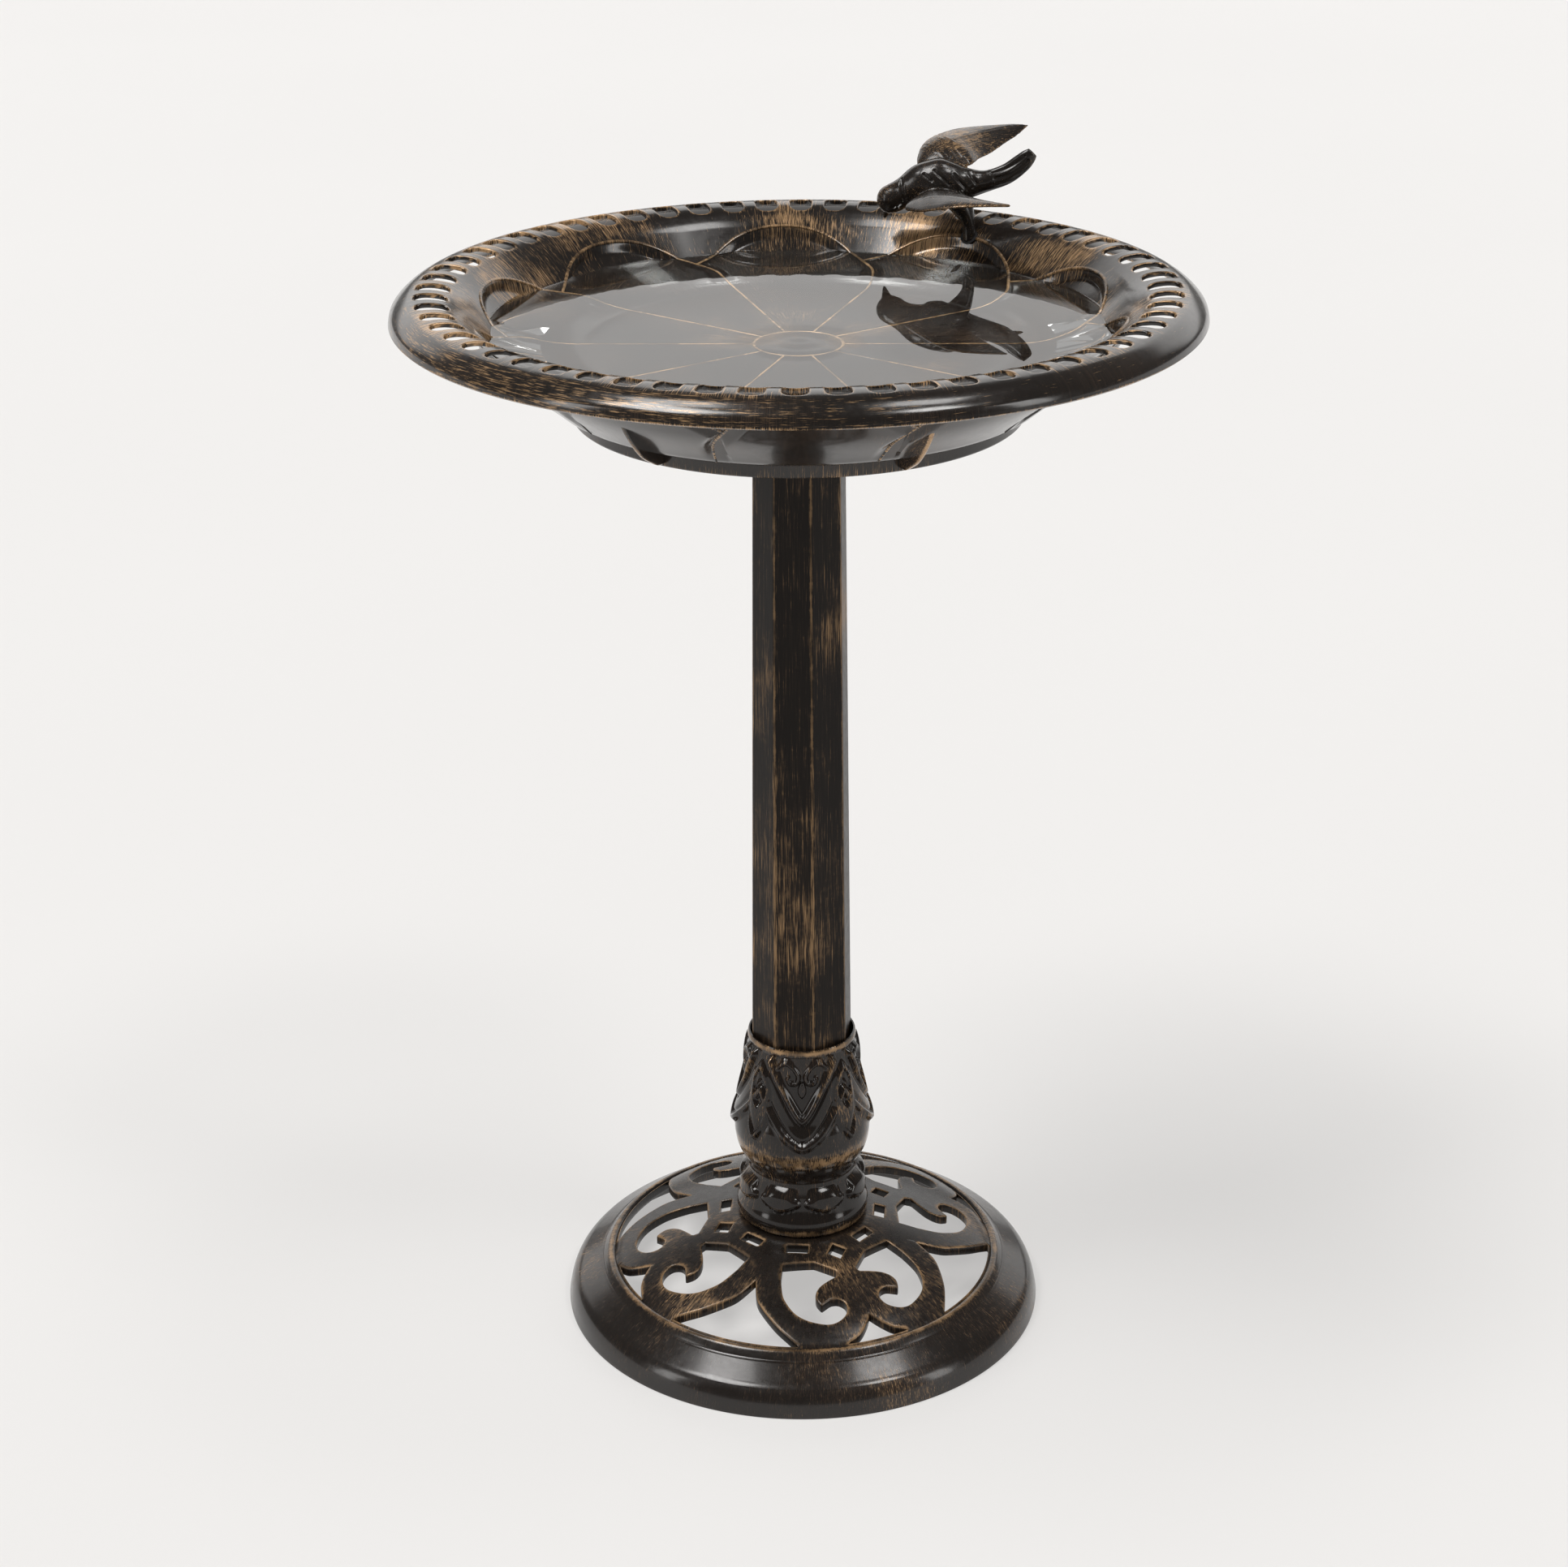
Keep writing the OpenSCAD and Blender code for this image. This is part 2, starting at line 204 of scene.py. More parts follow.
class Solid:
    """Gathers vertices, faces and the two attributes that the materials read.

    wear is how much bronze shows there by design; grain is the position that the brushed streaks
    are drawn from, squeezed along the brushing direction."""

    def __init__(self):
        self.points, self.faces, self.wear, self.grain = [], [], [], []
        self.count = 0

    def add(self, points, faces, wear=0.0, grain=None):
        points = np.asarray(points, float).reshape(-1, 3)
        n = len(points)
        self.points.append(points)
        self.wear.append(np.broadcast_to(np.asarray(wear, float).reshape(-1), (n,)))
        self.grain.append(points if grain is None else np.asarray(grain, float).reshape(-1, 3))
        self.faces += [tuple(i + self.count for i in f) for f in faces]
        self.count += n

    def grid(self, points, wear=0.0, grain=None, close_rows=False, close_columns=False, flip=False):
        """A sheet of quads over points[row][column]."""
        rows, columns = points.shape[:2]
        faces = []
        for i in range(rows - (0 if close_rows else 1)):
            for j in range(columns - (0 if close_columns else 1)):
                a = i * columns + j
                b = i * columns + (j + 1) % columns
                c = ((i + 1) % rows) * columns + (j + 1) % columns
                d = ((i + 1) % rows) * columns + j
                faces.append((a, d, c, b) if flip else (a, b, c, d))
        wear = np.broadcast_to(np.asarray(wear, float), (rows, columns)) if np.ndim(wear) else wear
        self.add(points, faces, wear, grain)

    def cap(self, start, count, stride=1):
        """One face over so many vertices. build() turns it to face outward."""
        self.faces.append(tuple(start + k * stride for k in range(count)))

    def rings(self, points, wear=0.0, grain=None):
        """A closed skin through points[ring][place], with a face over each end."""
        start = self.count
        count, sides = points.shape[:2]
        self.grid(points, wear, grain, close_columns=True)
        self.cap(start, sides)
        self.cap(start + (count - 1) * sides, sides)

    def tube(self, path, radii, normal, wear, grain, sides=8, flatten=0.75):
        """A closed rod along the path, flattened along the normal."""
        tangent = unit(np.gradient(path, axis=0))
        side = unit(np.cross(tangent, normal))
        points = ring_points(path, side, np.cross(side, tangent), radii, flatten * radii, sides)
        self.rings(points, wear, np.repeat(grain, sides, axis=0))

    def lathe(self, profile, divisions, wear=0.0, along=0.1, relief=None):
        """The profile, (radius, z) points, turned about Z. relief pushes points[row][column] outward."""
        profile = np.asarray(profile, float)
        degrees = np.arange(divisions) * 360 / divisions
        r, z = profile[:, 0][:, None], profile[:, 1][:, None]
        if relief is not None:
            tangent = unit(np.gradient(profile, axis=0))
            r = r + relief * tangent[:, 1][:, None]
            z = z - relief * tangent[:, 0][:, None]
        points = polar(r, degrees[None, :], z)
        grain = polar(profile[:, 0].max(), degrees[None, :], (travel(profile) * along)[:, None])
        wear = np.asarray(wear, float)
        self.grid(points, wear[:, None] if wear.ndim == 1 else wear, grain, close_columns=True)

    def build(self, name, smooth_angle=40.0, weld=0.0):
        """The mesh object, in metres."""
        mesh = bpy.data.meshes.new(name)
        points = np.concatenate(self.points)
        mesh.from_pydata((points * MM).tolist(), [], self.faces)
        set_attributes(mesh, np.concatenate(self.wear), np.concatenate(self.grain))
        tidy = bmesh.new()
        tidy.from_mesh(mesh)
        if weld:
            bmesh.ops.remove_doubles(tidy, verts=tidy.verts, dist=weld * MM)
        bmesh.ops.recalc_face_normals(tidy, faces=tidy.faces)
        turn_outward(tidy)
        tidy.to_mesh(mesh)
        tidy.free()
        mesh.shade_smooth()
        mesh.set_sharp_from_angle(angle=math.radians(smooth_angle))
        return new_object(name, mesh)


def finish_piece(obj, body, material, slot, *replaced):
    obj.data.materials.clear()
    obj.data.materials.append(material)
    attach(obj, body)
    if replaced:
        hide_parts(*replaced)


# ---- basin

LEAVES = 10
LEAF_AT = 93.2                  # direction of one leaf's middle
SLOTS = 60
SLOT_IN_R, SLOT_OUT_R = 216.8, 238.0
SLOT_W = 14.6
SLOT_CORNER = 5.6
SLOT_EDGE = 1.0                 # rounding of a slot's edge
BAND_IN_R, BAND_OUT_R = 213.5, 241.5    # the ring of rim that the slots are cut in
SECTOR_STEPS = 12
SECTOR = 360.0 / SLOTS
RIB_LINE = smooth([(-22, 29), (-22, 85), (-22, 140), (-21, 163), (-19.8, 172), (-17, 181), (-13.5, 192),
                   (-9, 200), (-4.5, 204.3), (0, 205.5), (4.5, 204.3), (9, 200), (13, 193), (16.3, 186),
                   (19, 181)], 8)   # one rib: degrees from its leaf's middle, and radius
RIB_TOP = int(np.argmax(RIB_LINE[:, 1]))
RECESS = 3.6                    # how far a leaf's panel sinks into the wall
FINS = 6
FIN_AT = 235.3                  # direction of one fin

RIM_TOP = smooth([(RIM_R, CREST_Z - 15.5), (RIM_R - 1.5, CREST_Z - 10), (RIM_R - 7, CREST_Z - 4.5),
                  (RIM_R - 14, CREST_Z - 1), (RIM_R - 25, CREST_Z), (RIM_R - 35, CREST_Z - 1.7),
                  (RIM_R - 43, CREST_Z - 6.5), wall(RIM_R - 48)], 5)
RIM_UNDER = smooth([(RIM_R - 1, CREST_Z - 16.5), (RIM_R - 3.5, CREST_Z - 16.5), (RIM_R - 5.5, CREST_Z - 12.5),
                    (RIM_R - 14, CREST_Z - 5), (RIM_R - 24, CREST_Z - 3), (RIM_R - 37, CREST_Z - 5.5),
                    (RIM_R - 44, CREST_Z - 11.5), wall(RIM_R - 47, WALL_T)], 5)
BOWL_TOP = smooth([wall(165), wall(160), (152, FLOOR_Z + 3.7), (140, FLOOR_Z), (130, FLOOR_Z)], 8)


def rim_top_z(r):
    return np.interp(r, RIM_TOP[::-1, 0], RIM_TOP[::-1, 1])


def rim_under_z(r):
    return np.interp(r, RIM_UNDER[::-1, 0], RIM_UNDER[::-1, 1])


def wall_recess(degrees, profile):
    """How far the wall is pushed outward at each point of a profile, so that the leaves' panels sink in."""
    r = profile[:, 0][:, None]
    a = wrap(degrees - LEAF_AT, 360 / LEAVES)
    rising, falling = RIB_LINE[:RIB_TOP + 1], RIB_LINE[RIB_TOP:][::-1]
    inside_r = np.clip(r, 29, RIB_LINE[RIB_TOP, 1])
    left = np.interp(inside_r, rising[:, 1], rising[:, 0])
    right = np.interp(inside_r, falling[:, 1], falling[:, 0])
    right = np.where(inside_r < falling[0, 1], left + 360 / LEAVES, right)
    arch = np.interp(a, RIB_LINE[:, 0][RIB_LINE[:, 1] > 140], RIB_LINE[:, 1][RIB_LINE[:, 1] > 140])
    shift = np.where(a < left, a + 360 / LEAVES, a)
    reach = np.minimum(np.minimum(shift - left, right - shift) * r * math.pi / 180, (arch - r) * math.sqrt(2))
    reach = np.where((r < falling[0, 1]), np.minimum(shift - left, right - shift) * r * math.pi / 180, reach)
    depth = RECESS * step(r, 150, 182)
    return depth * step(reach, 0.5, 8.0)


def rib_path(top):
    """One rib's line, as radius and height, over the bowl's top face or under its wall."""
    r = RIB_LINE[:, 1]
    if not top:
        return wall(r, WALL_T)
    bowl = BOWL_TOP[::-1]
    return r, np.where(r < 165, np.interp(r, bowl[:, 0], bowl[:, 1]), wall(r)[1])


def add_ribs(solid, top):
    r, z = rib_path(top)
    slope = np.gradient(z) / (np.gradient(r) + 1e-9)
    slope = np.where(r > 163, 1.0, np.clip(slope, 0, 1))
    radii = 0.75 + 0.4 * step(r, 150, 190)
    keep = slice(None) if top else r > 153
    for leaf in range(LEAVES):
        at = LEAF_AT + leaf * 360 / LEAVES + RIB_LINE[:, 0]
        path = polar(r, at, z)
        a = np.radians(at)
        normal = unit(np.stack([-slope * np.cos(a), -slope * np.sin(a), np.ones_like(a)], axis=1))
        sign = 1 if top else -1
        wear = 0.95 - 0.35 * step(r[keep], 178, 188) if top else np.full(len(r[keep]), 0.1)
        grain = radial_grain(r, at, z)
        solid.tube(path[keep], radii[keep], sign * normal[keep], wear[:, None], grain[keep])


def slot_reach(direction):
    """Distance from a slot's middle to its outline along a direction, for a rectangle with round corners."""
    half = np.array([(SLOT_OUT_R - SLOT_IN_R) / 2, SLOT_W / 2])
    low, high = 0.0, half.max() * 1.5
    for _ in range(30):
        mid = (low + high) / 2
        q = np.abs(direction * mid) - half + SLOT_CORNER
        outside = np.linalg.norm(np.maximum(q, 0)) + min(max(q[0], q[1]), 0) - SLOT_CORNER
        low, high = (mid, high) if outside < 0 else (low, mid)
    return low


def sector_boundary():
    """Points round the edge of one slot's share of the rim, as (radius, degrees from the slot)."""
    half = SECTOR / 2
    across = np.linspace(-half, half, SECTOR_STEPS + 1)
    out = np.linspace(BAND_IN_R, BAND_OUT_R, 11)
    edge = [(BAND_IN_R, a) for a in across[:-1]]
    edge += [(r, half) for r in out[:-1]]
    edge += [(BAND_OUT_R, a) for a in across[:0:-1]]
    edge += [(r, -half) for r in out[:0:-1]]
    return np.array(edge)


def slot_rings():
    """Rings of (radius, degrees, height) from the band's edge on top, through the slot, to its edge below."""
    edge = sector_boundary()
    mid_r = (SLOT_IN_R + SLOT_OUT_R) / 2
    local = np.stack([edge[:, 0] - mid_r, np.radians(edge[:, 1]) * mid_r], axis=1)
    direction = local / np.linalg.norm(local, axis=1)[:, None]
    outline = direction * np.array([slot_reach(d) for d in direction])[:, None]
    rings = []

    def ring(share, grow, drop, top):
        flat = local * (1 - share) + (outline + direction * grow) * share
        r = flat[:, 0] + mid_r
        z = rim_top_z(r) - drop if top else rim_under_z(r) + drop
        rings.append(np.stack([r, np.degrees(flat[:, 1] / mid_r), z], axis=1))

    for share in (0, 0.35, 0.7):
        ring(share, SLOT_EDGE, 0, True)
    for turn in (0, 30, 60, 90):
        a = math.radians(turn)
        ring(1, SLOT_EDGE * (1 - math.sin(a)), SLOT_EDGE * (1 - math.cos(a)), True)
    for turn in (90, 45, 0):
        a = math.radians(turn)
        ring(1, 0.5 * (1 - math.sin(a)), 0.5 * (1 - math.cos(a)), False)
    for share in (0.5, 0):
        ring(share, 0.5, 0, False)
    return np.array(rings)


def add_slots(solid):
    rings = slot_rings()
    rows = len(rings)
    wear = np.zeros(rings.shape[:2])
    wear[2:7] = np.array([0.15, 0.55, 0.7, 0.6, 0.3])[:, None]
    for slot in range(SLOTS):
        at = -0.5 + slot * SECTOR
        points = polar(rings[:, :, 0], rings[:, :, 1] + at, rings[:, :, 2])
        grain = radial_grain(rings[:, :, 0], rings[:, :, 1] + at, rings[:, :, 2])
        solid.grid(points, wear.reshape(rows, -1), grain, close_columns=True)


def radial_grain(r, degrees, z):
    """Streaks that run out from the axis, over floor, wall and rim alike."""
    return polar(RIM_R, degrees, (r + z) * 0.035)


def ring_grid(solid, profile, wear, relief=None):
    """A turned sheet whose columns meet the slots' sectors."""
    n = SLOTS * SECTOR_STEPS
    degrees = -0.5 - SECTOR / 2 + np.arange(n) * 360 / n
    profile = np.asarray(profile, float)
    r, z = profile[:, 0][:, None], profile[:, 1][:, None]
    if relief is not None:
        push = relief(degrees[None, :], profile)
        r = r + push / math.sqrt(2)
        z = z - push / math.sqrt(2)
    points = polar(r, degrees[None, :], z)
    wear = np.broadcast_to(np.asarray(wear, float).reshape(-1, 1), points.shape[:2])
    solid.grid(points, wear, radial_grain(r, degrees[None, :], z), close_columns=True)


def add_fins(solid):
    """Thin blades from the wall down to the foot ring, their outer edges rounded and brushed."""
    edge = smooth([(191, wall(192, WALL_T)[1]), (184.5, wall(182, WALL_T)[1]), (176, wall(168, WALL_T)[1]),
                   (164, FOOT_Z + 11.5), (154, FOOT_Z + 5), (148, FOOT_Z + 2), (141, FOOT_Z + 2)], 4)
    back = np.array([(r, wall(max(r, 153.0), WALL_T)[1] + 2) for r, _ in edge])
    back[:, 1] = np.maximum(back[:, 1], UNDER_Z + 1)
    inset = edge + 0.8 * unit(back - edge)
    half_t = np.interp(np.arange(len(edge)), [0, 4, len(edge)], [0.9, 1.8, 2.0])
    for k in range(FINS):
        out, side = polar(1.0, FIN_AT + k * 360 / FINS + np.array([0, 90]), 0)
        rows = []
        for line, share in ((back, 1), (inset, 1), (edge, 0.55), (edge, -0.55), (inset, -1), (back, -1)):
            rows.append(out * line[:, :1] + [0, 0, 1] * line[:, 1:] + side * (half_t * share)[:, None])
        wear = np.array([-0.8, -0.5, 0.34, 0.34, -0.5, -0.8])[:, None] * np.ones(len(edge))
        start = solid.count
        solid.grid(np.array(rows), wear, close_rows=True)
        for end in (0, len(edge) - 1):
            solid.cap(start + end, len(rows), len(edge))


def make_basin(material):
    solid = Solid()
    top_wall = resample([wall(170), wall(RIM_R - 48)], 1.6)
    rim_in = RIM_TOP[::-1][RIM_TOP[::-1, 0] < BAND_IN_R]
    floor = [(6, FLOOR_Z + 0.2), (10, FLOOR_Z + 1.0), (27, FLOOR_Z + 1), (29, FLOOR_Z), (45, FLOOR_Z),
             (70, FLOOR_Z), (95, FLOOR_Z), (120, FLOOR_Z)]
    inner = np.concatenate([[(0.01, FLOOR_Z - 0.2), (3, FLOOR_Z - 0.1)], floor, BOWL_TOP[::-1], top_wall[:-1],
                            rim_in, [(BAND_IN_R, rim_top_z(BAND_IN_R))]])
    r = inner[:, 0]
    inner_wear = -(0.30 + 0.5 * step(r, 60, 120)) * step(r, 30, 34) * step(r, 193, 189.5)
    inner_wear += 0.22 * step(r, 189, 192) * step(r, 216, 211)
    ring_grid(solid, inner, inner_wear, wall_recess)
    add_slots(solid)
    lip_top = RIM_TOP[::-1][RIM_TOP[::-1, 0] > BAND_OUT_R]
    lip_under = RIM_UNDER[RIM_UNDER[:, 0] > BAND_OUT_R]
    lip = np.concatenate([[(BAND_OUT_R, rim_top_z(BAND_OUT_R))], lip_top, lip_under,
                          [(BAND_OUT_R, rim_under_z(BAND_OUT_R))]])
    lip_wear = 1.7 * bump(lip[:, 1], CREST_Z - 16, 2.2)
    lip_wear -= 0.9 * step(lip[:, 0], BAND_OUT_R - 1, BAND_OUT_R + 3)
    ring_grid(solid, lip, lip_wear)
    under_in = RIM_UNDER[RIM_UNDER[:, 0] < BAND_IN_R]
    under_wall = resample([wall(RIM_R - 47, WALL_T), wall(156, WALL_T)], 1.6)
    foot = [(154.5, UNDER_Z + 2.2), (152, UNDER_Z + 0.6), (150, UNDER_Z), (143.4, UNDER_Z),
            (143, UNDER_Z - 0.5), (143, FOOT_Z + 0.8), (142.4, FOOT_Z), (137.6, FOOT_Z), (137, FOOT_Z + 0.6),
            (137, UNDER_Z), (90, UNDER_Z), (31, UNDER_Z), (30, UNDER_Z - 1), (30, SOCKET_LOW_Z + 0.6),
            (29.4, SOCKET_LOW_Z), (SOCKET_R + 0.6, SOCKET_LOW_Z), (SOCKET_R, SOCKET_LOW_Z + 0.6),
            (SOCKET_R, SOCKET_ROOF_Z), (0.01, SOCKET_ROOF_Z)]
    outer = np.concatenate([[(BAND_IN_R, rim_under_z(BAND_IN_R))], under_in[:-1], under_wall, foot])
    foot_wear = bump(outer[:, 1], FOOT_Z + 0.4, 1.6) * (outer[:, 0] > 130) * 0.9 - 0.9
    ring_grid(solid, outer, foot_wear, wall_recess)
    add_ribs(solid, True)
    add_ribs(solid, False)
    add_fins(solid)
    turn = np.linspace(0, 6.2832, 13)
    boss_ring = np.stack([28 + np.cos(turn), FLOOR_Z + 0.5 + 0.9 * np.sin(turn)], axis=1)
    solid.lathe(boss_ring, 96, 1.0)
    obj = solid.build("basin_bowl", 35, 0.02)
    finish_piece(obj, "basin", material, "bronze_basin", "basin")


# ---- water

WATER_Z = 700.0


def make_water(material):
    solid = Solid()
    wall_r = WATER_Z - WALL_RISE
    n = 360
    degrees = np.arange(n) * 360 / n
    edge = np.array([[wall_r, WATER_Z]])
    reach = wall_r + wall_recess(degrees[None, :], edge)[0] * math.sqrt(2) + 1.2
    rows = []
    for share, z in ((0.004, 0), (0.5, 0), (0.93, 0), (0.985, 0.05), (0.995, 0.35), (1.0, 0.9)):
        rows.append(polar(reach * share, degrees, WATER_Z + z))
    for r, z in (wall(172, 2.5), (150, FLOOR_Z - 0.6), (130, FLOOR_Z - 1.2), (0.5, FLOOR_Z - 1.2)):
        rows.append(polar(np.full(n, float(r)), degrees, z))
    solid.rings(np.array(rows))
    finish_piece(solid.build("water", 30), "basin", material, "bronze_basin")


# ---- column and collar

COLUMN_TURN = 13.4              # direction of one of the column's eight corners
COLUMN_LOW_R = 34.85
COLUMN_TOP_R = 30.5
COLUMN_WALL = 3.3


def octagon(fillet):
    """A rounded octagon of corner radius 1: its plan points, and how close each is to a corner."""
    plan, corner = [], []
    flat = math.cos(math.pi / 8)
    centre_r = 1 - fillet / flat
    side = 2 * math.sin(math.pi / 8) - 2 * fillet * math.tan(math.pi / 8)
    for k in range(8):
        at = math.radians(COLUMN_TURN + 45 * k)
        centre = centre_r * np.array([math.cos(at), math.sin(at)])
        for j in range(7):
            a = at + math.radians(-22.5 + 7.5 * j)
            plan.append(centre + fillet * np.array([math.cos(a), math.sin(a)]))
            corner.append(1.0 - abs(j - 3) * 0.27)
        along = at + math.radians(22.5)
        run = np.array([-math.sin(along), math.cos(along)]) * side
        last = plan[-1]
        for share in (0.04, 0.1, 0.25, 0.5, 0.75, 0.9, 0.96):
            plan.append(last + run * share)
            corner.append(0)
    return np.array(plan), np.array(corner)


def make_column(material):
    solid = Solid()
    levels = np.concatenate([np.arange(COLUMN_LOW_Z + 1, COLLAR_TOP_Z, 9.0),
                             np.linspace(COLLAR_TOP_Z, COLUMN_TOP_Z - 0.6, 60)])
    radius = np.interp(levels, [COLLAR_TOP_Z, COLUMN_TOP_Z], [COLUMN_LOW_R, COLUMN_TOP_R])
    plan, corner = octagon(0.115)
    in_plan, _ = octagon(0.06)
    ends = [(levels[0] - 1, radius[0] - 0.8), (COLUMN_TOP_Z, radius[-1] - 0.5)]
    outer = [(z, r, 0) for z, r in ends[:1] + list(zip(levels, radius)) + ends[1:]]
    inner = [(COLUMN_TOP_Z, radius[-1] - COLUMN_WALL + 0.3, 1),
             (COLUMN_TOP_Z - 0.6, radius[-1] - COLUMN_WALL, 1),
             (COLLAR_TOP_Z, COLUMN_LOW_R - COLUMN_WALL, 1), (COLUMN_LOW_Z, COLUMN_LOW_R - COLUMN_WALL, 1)]
    rows, wear, grain = [], [], []
    for z, r, inside in outer + inner:
        flat = (in_plan if inside else plan) * r
        rows.append(np.column_stack([flat, np.full(len(flat), z)]))
        wear.append(corner * (0 if inside else 1))
        grain.append(np.column_stack([flat, np.full(len(flat), z * 0.022)]))
    solid.grid(np.array(rows), np.array(wear), np.array(grain), close_rows=True, close_columns=True)
    finish_piece(solid.build("column_tube", 40), "stand", material, "bronze_column", "column")


NECK = smooth([(43, HUB_Z), (44.8, HUB_Z + 2), (45.8, HUB_Z + 6), (45.6, HUB_Z + 11), (43.8, 81), (41.8, 88),
               (40.8, 95)], 6)
BULGE = smooth([(37.8, 101), (38.2, 107), (42.2, 114.6), (45, 121), (46.3, 127.6), (46.8, 134), (45.9, 143),
                (42.7, 153), (39.8, 166), (38.3, 176), (38.3, 187), (37.4, 198)], 12)
BEAD = smooth([(36.4, 201), (36.9, 203), (37, 205), (36.4, COLLAR_TOP_Z)], 3)
RELIEF_MM = 0.7                 # millimetres round the collar for one degree


def line_distance(around, z, path):
    """Millimetres from the line through the (degrees, height) points, on the collar's skin."""
    path = np.asarray(path, float) * [RELIEF_MM, 1]
    x = around * RELIEF_MM
    best = np.full(np.broadcast(x, z).shape, 1e9)
    for (ax, az), (bx, bz) in zip(path[:-1], path[1:]):
        dx, dz = bx - ax, bz - az
        t = np.clip(((x - ax) * dx + (z - az) * dz) / (dx * dx + dz * dz), 0, 1)
        best = np.minimum(best, np.hypot(x - ax - t * dx, z - az - t * dz))
    return best


def ridge(around, z, path, half_width):
    """1 along the line, falling to 0 at half_width on either side."""
    return step(line_distance(around, z, path), half_width, 0)


def lens(around, z, centre, half_across, half_up):
    """A leaf-shaped cushion, pointed at both ends."""
    up = np.clip(1 - ((z - centre[1]) / half_up) ** 2, 0, 1)
    across = np.abs(around - centre[0]) / (half_across * up + 1e-6)
    return np.sqrt(np.clip(1 - across ** 2, 0, 1)) * np.sqrt(up)


def band(around, z, path, half_width, flank):
    """A flat strap with rounded sides along the line."""
    return step(line_distance(around, z, path), half_width, half_width - flank)


def collar_relief(degrees, profile):
    """How far the collar's skin stands out: a broad V with curls and a tulip, and leaves between."""
    z = profile[:, 1][:, None]
    side = np.abs(wrap(degrees - 270, 90))
    inner_edge = smooth([(33, 197), (25, 186), (14, 171), (5, 160), (0, 156)], 3)
    outer_edge = smooth([(45, 174), (33, 161), (16, 146), (5, 139.5), (0, 138)], 3)
    middle = smooth([(39, 184), (29, 173), (15, 158), (5, 149.5), (0, 147)], 3)
    v_edge = np.interp(z, inner_edge[::-1, 1], inner_edge[::-1, 0], left=0, right=33)
    within = step(v_edge - side, 2.0, 7.0)
    out = -1.8 * within * step(z, 156, 161)
    out = np.maximum(out, 1.3 * band(side, z, middle, 6.0, 3.5))
    out = np.maximum(out, 3.0 * ridge(side, z, inner_edge, 4.2))
    out = np.maximum(out, 2.6 * ridge(side, z, outer_edge, 4.6))
    curl = smooth([(27, 193), (18, 198), (9, 195), (3.5, 189), (6, 184), (12, 183.5), (14, 187)], 4)
    out = np.maximum(out, 1.7 * ridge(side, z, curl, 2.4))
    tulip = lens(side, z, (0, 178.5), 4.5, 6.5)
    out = np.maximum(out, 1.5 * step(tulip, 0.0, 0.8))
    petal = np.abs(wrap(degrees - 225, 90))
    leaf = step(lens(petal, z, (0, 170), 15, 27), 0.0, 0.9)
    hollow = step(lens(petal, z, (0, 175), 9, 15), 0.0, 0.8)
    knuckle = step(lens(petal, z, (0, 155), 4.5, 4.5), 0.0, 0.9)
    fold = ridge(petal, z, smooth([(12, 168), (9.5, 158), (6, 147), (0, 140)], 3), 2.8)
    out = np.maximum(out, 2.8 * leaf - 2.8 * hollow)
    out = np.maximum(out, np.maximum(2.4 * fold, 2.6 * knuckle))
    foot = wrap(degrees - 247.5, 45)
    eye = lens(foot, z, (0, 91), 21.5, 7.5)
    out = np.maximum(out, 2.6 * step(eye, 0.0, 0.85) * step(z, 100, 97))
    return 1.3 * out * step(z, 80, 84) * step(z, 202, 198)


def make_collar(material):
    solid = Solid()
    outer = np.concatenate([NECK, BULGE, BEAD])
    inner = np.array([(35.4, COLLAR_TOP_Z), (35.2, COLLAR_TOP_Z - 0.4), (35.2, 126), (5, 126), (5, 122),
                      (33, 122), (33, HUB_Z)])
    profile = np.concatenate([outer, inner])
    degrees = np.arange(ROUND) * 360 / ROUND
    relief = collar_relief(degrees[None, :], profile)
    relief[len(outer):] = 0
    z = profile[:, 1][:, None]
    front = step(np.cos(np.radians(degrees - 305)), 0.0, 0.8)[None, :]
    wear = step(relief, 1.3, 3.6) * (0.22 + 0.30 * step(z, 150, 185)) * (z > 110)
    wear = wear + 0.5 * bump(z, 86, 3.2) * (relief > 0.15) - 0.5 * bump(z, 105, 9)
    wear = np.maximum(wear, bump(z, 205, 3.4) * 1.0)
    wear = np.maximum(wear, bump(z, HUB_Z + 3.5, 6) * (0.38 + 0.4 * front))
    wear = np.maximum(wear, bump(z, 125, 13) * 0.66)
    wear[len(outer):] = 0
    profile = np.concatenate([profile, profile[:1]])
    relief, wear = np.vstack([relief, relief[:1]]), np.vstack([wear, wear[:1]])
    solid.lathe(profile, ROUND, wear, 0.08, relief)
    finish_piece(solid.build("collar_casting", 50, 0.01), "stand", material, "bronze_collar", "collar")


# ---- base

BEAD_IN_R = 132.0               # the openwork meets the raised bead here
OPENING_R = 130.9
BEAD_Z = 33.0
HUB_R = 48.0
OPENWORK_T = 7.0
MOTIFS = 4
MOTIF_TURN = 293.0


def dome_z(r):
    """Height of the openwork's top face."""
    share = np.clip((BEAD_IN_R - np.asarray(r, float)) / (BEAD_IN_R - HUB_R), 0, 1)
    return BEAD_Z + (HUB_Z - BEAD_Z) * share ** 0.65


def arc(radius, start, end, count):
    return polar(radius, np.linspace(start, end, count), 0.0)[:, :2]


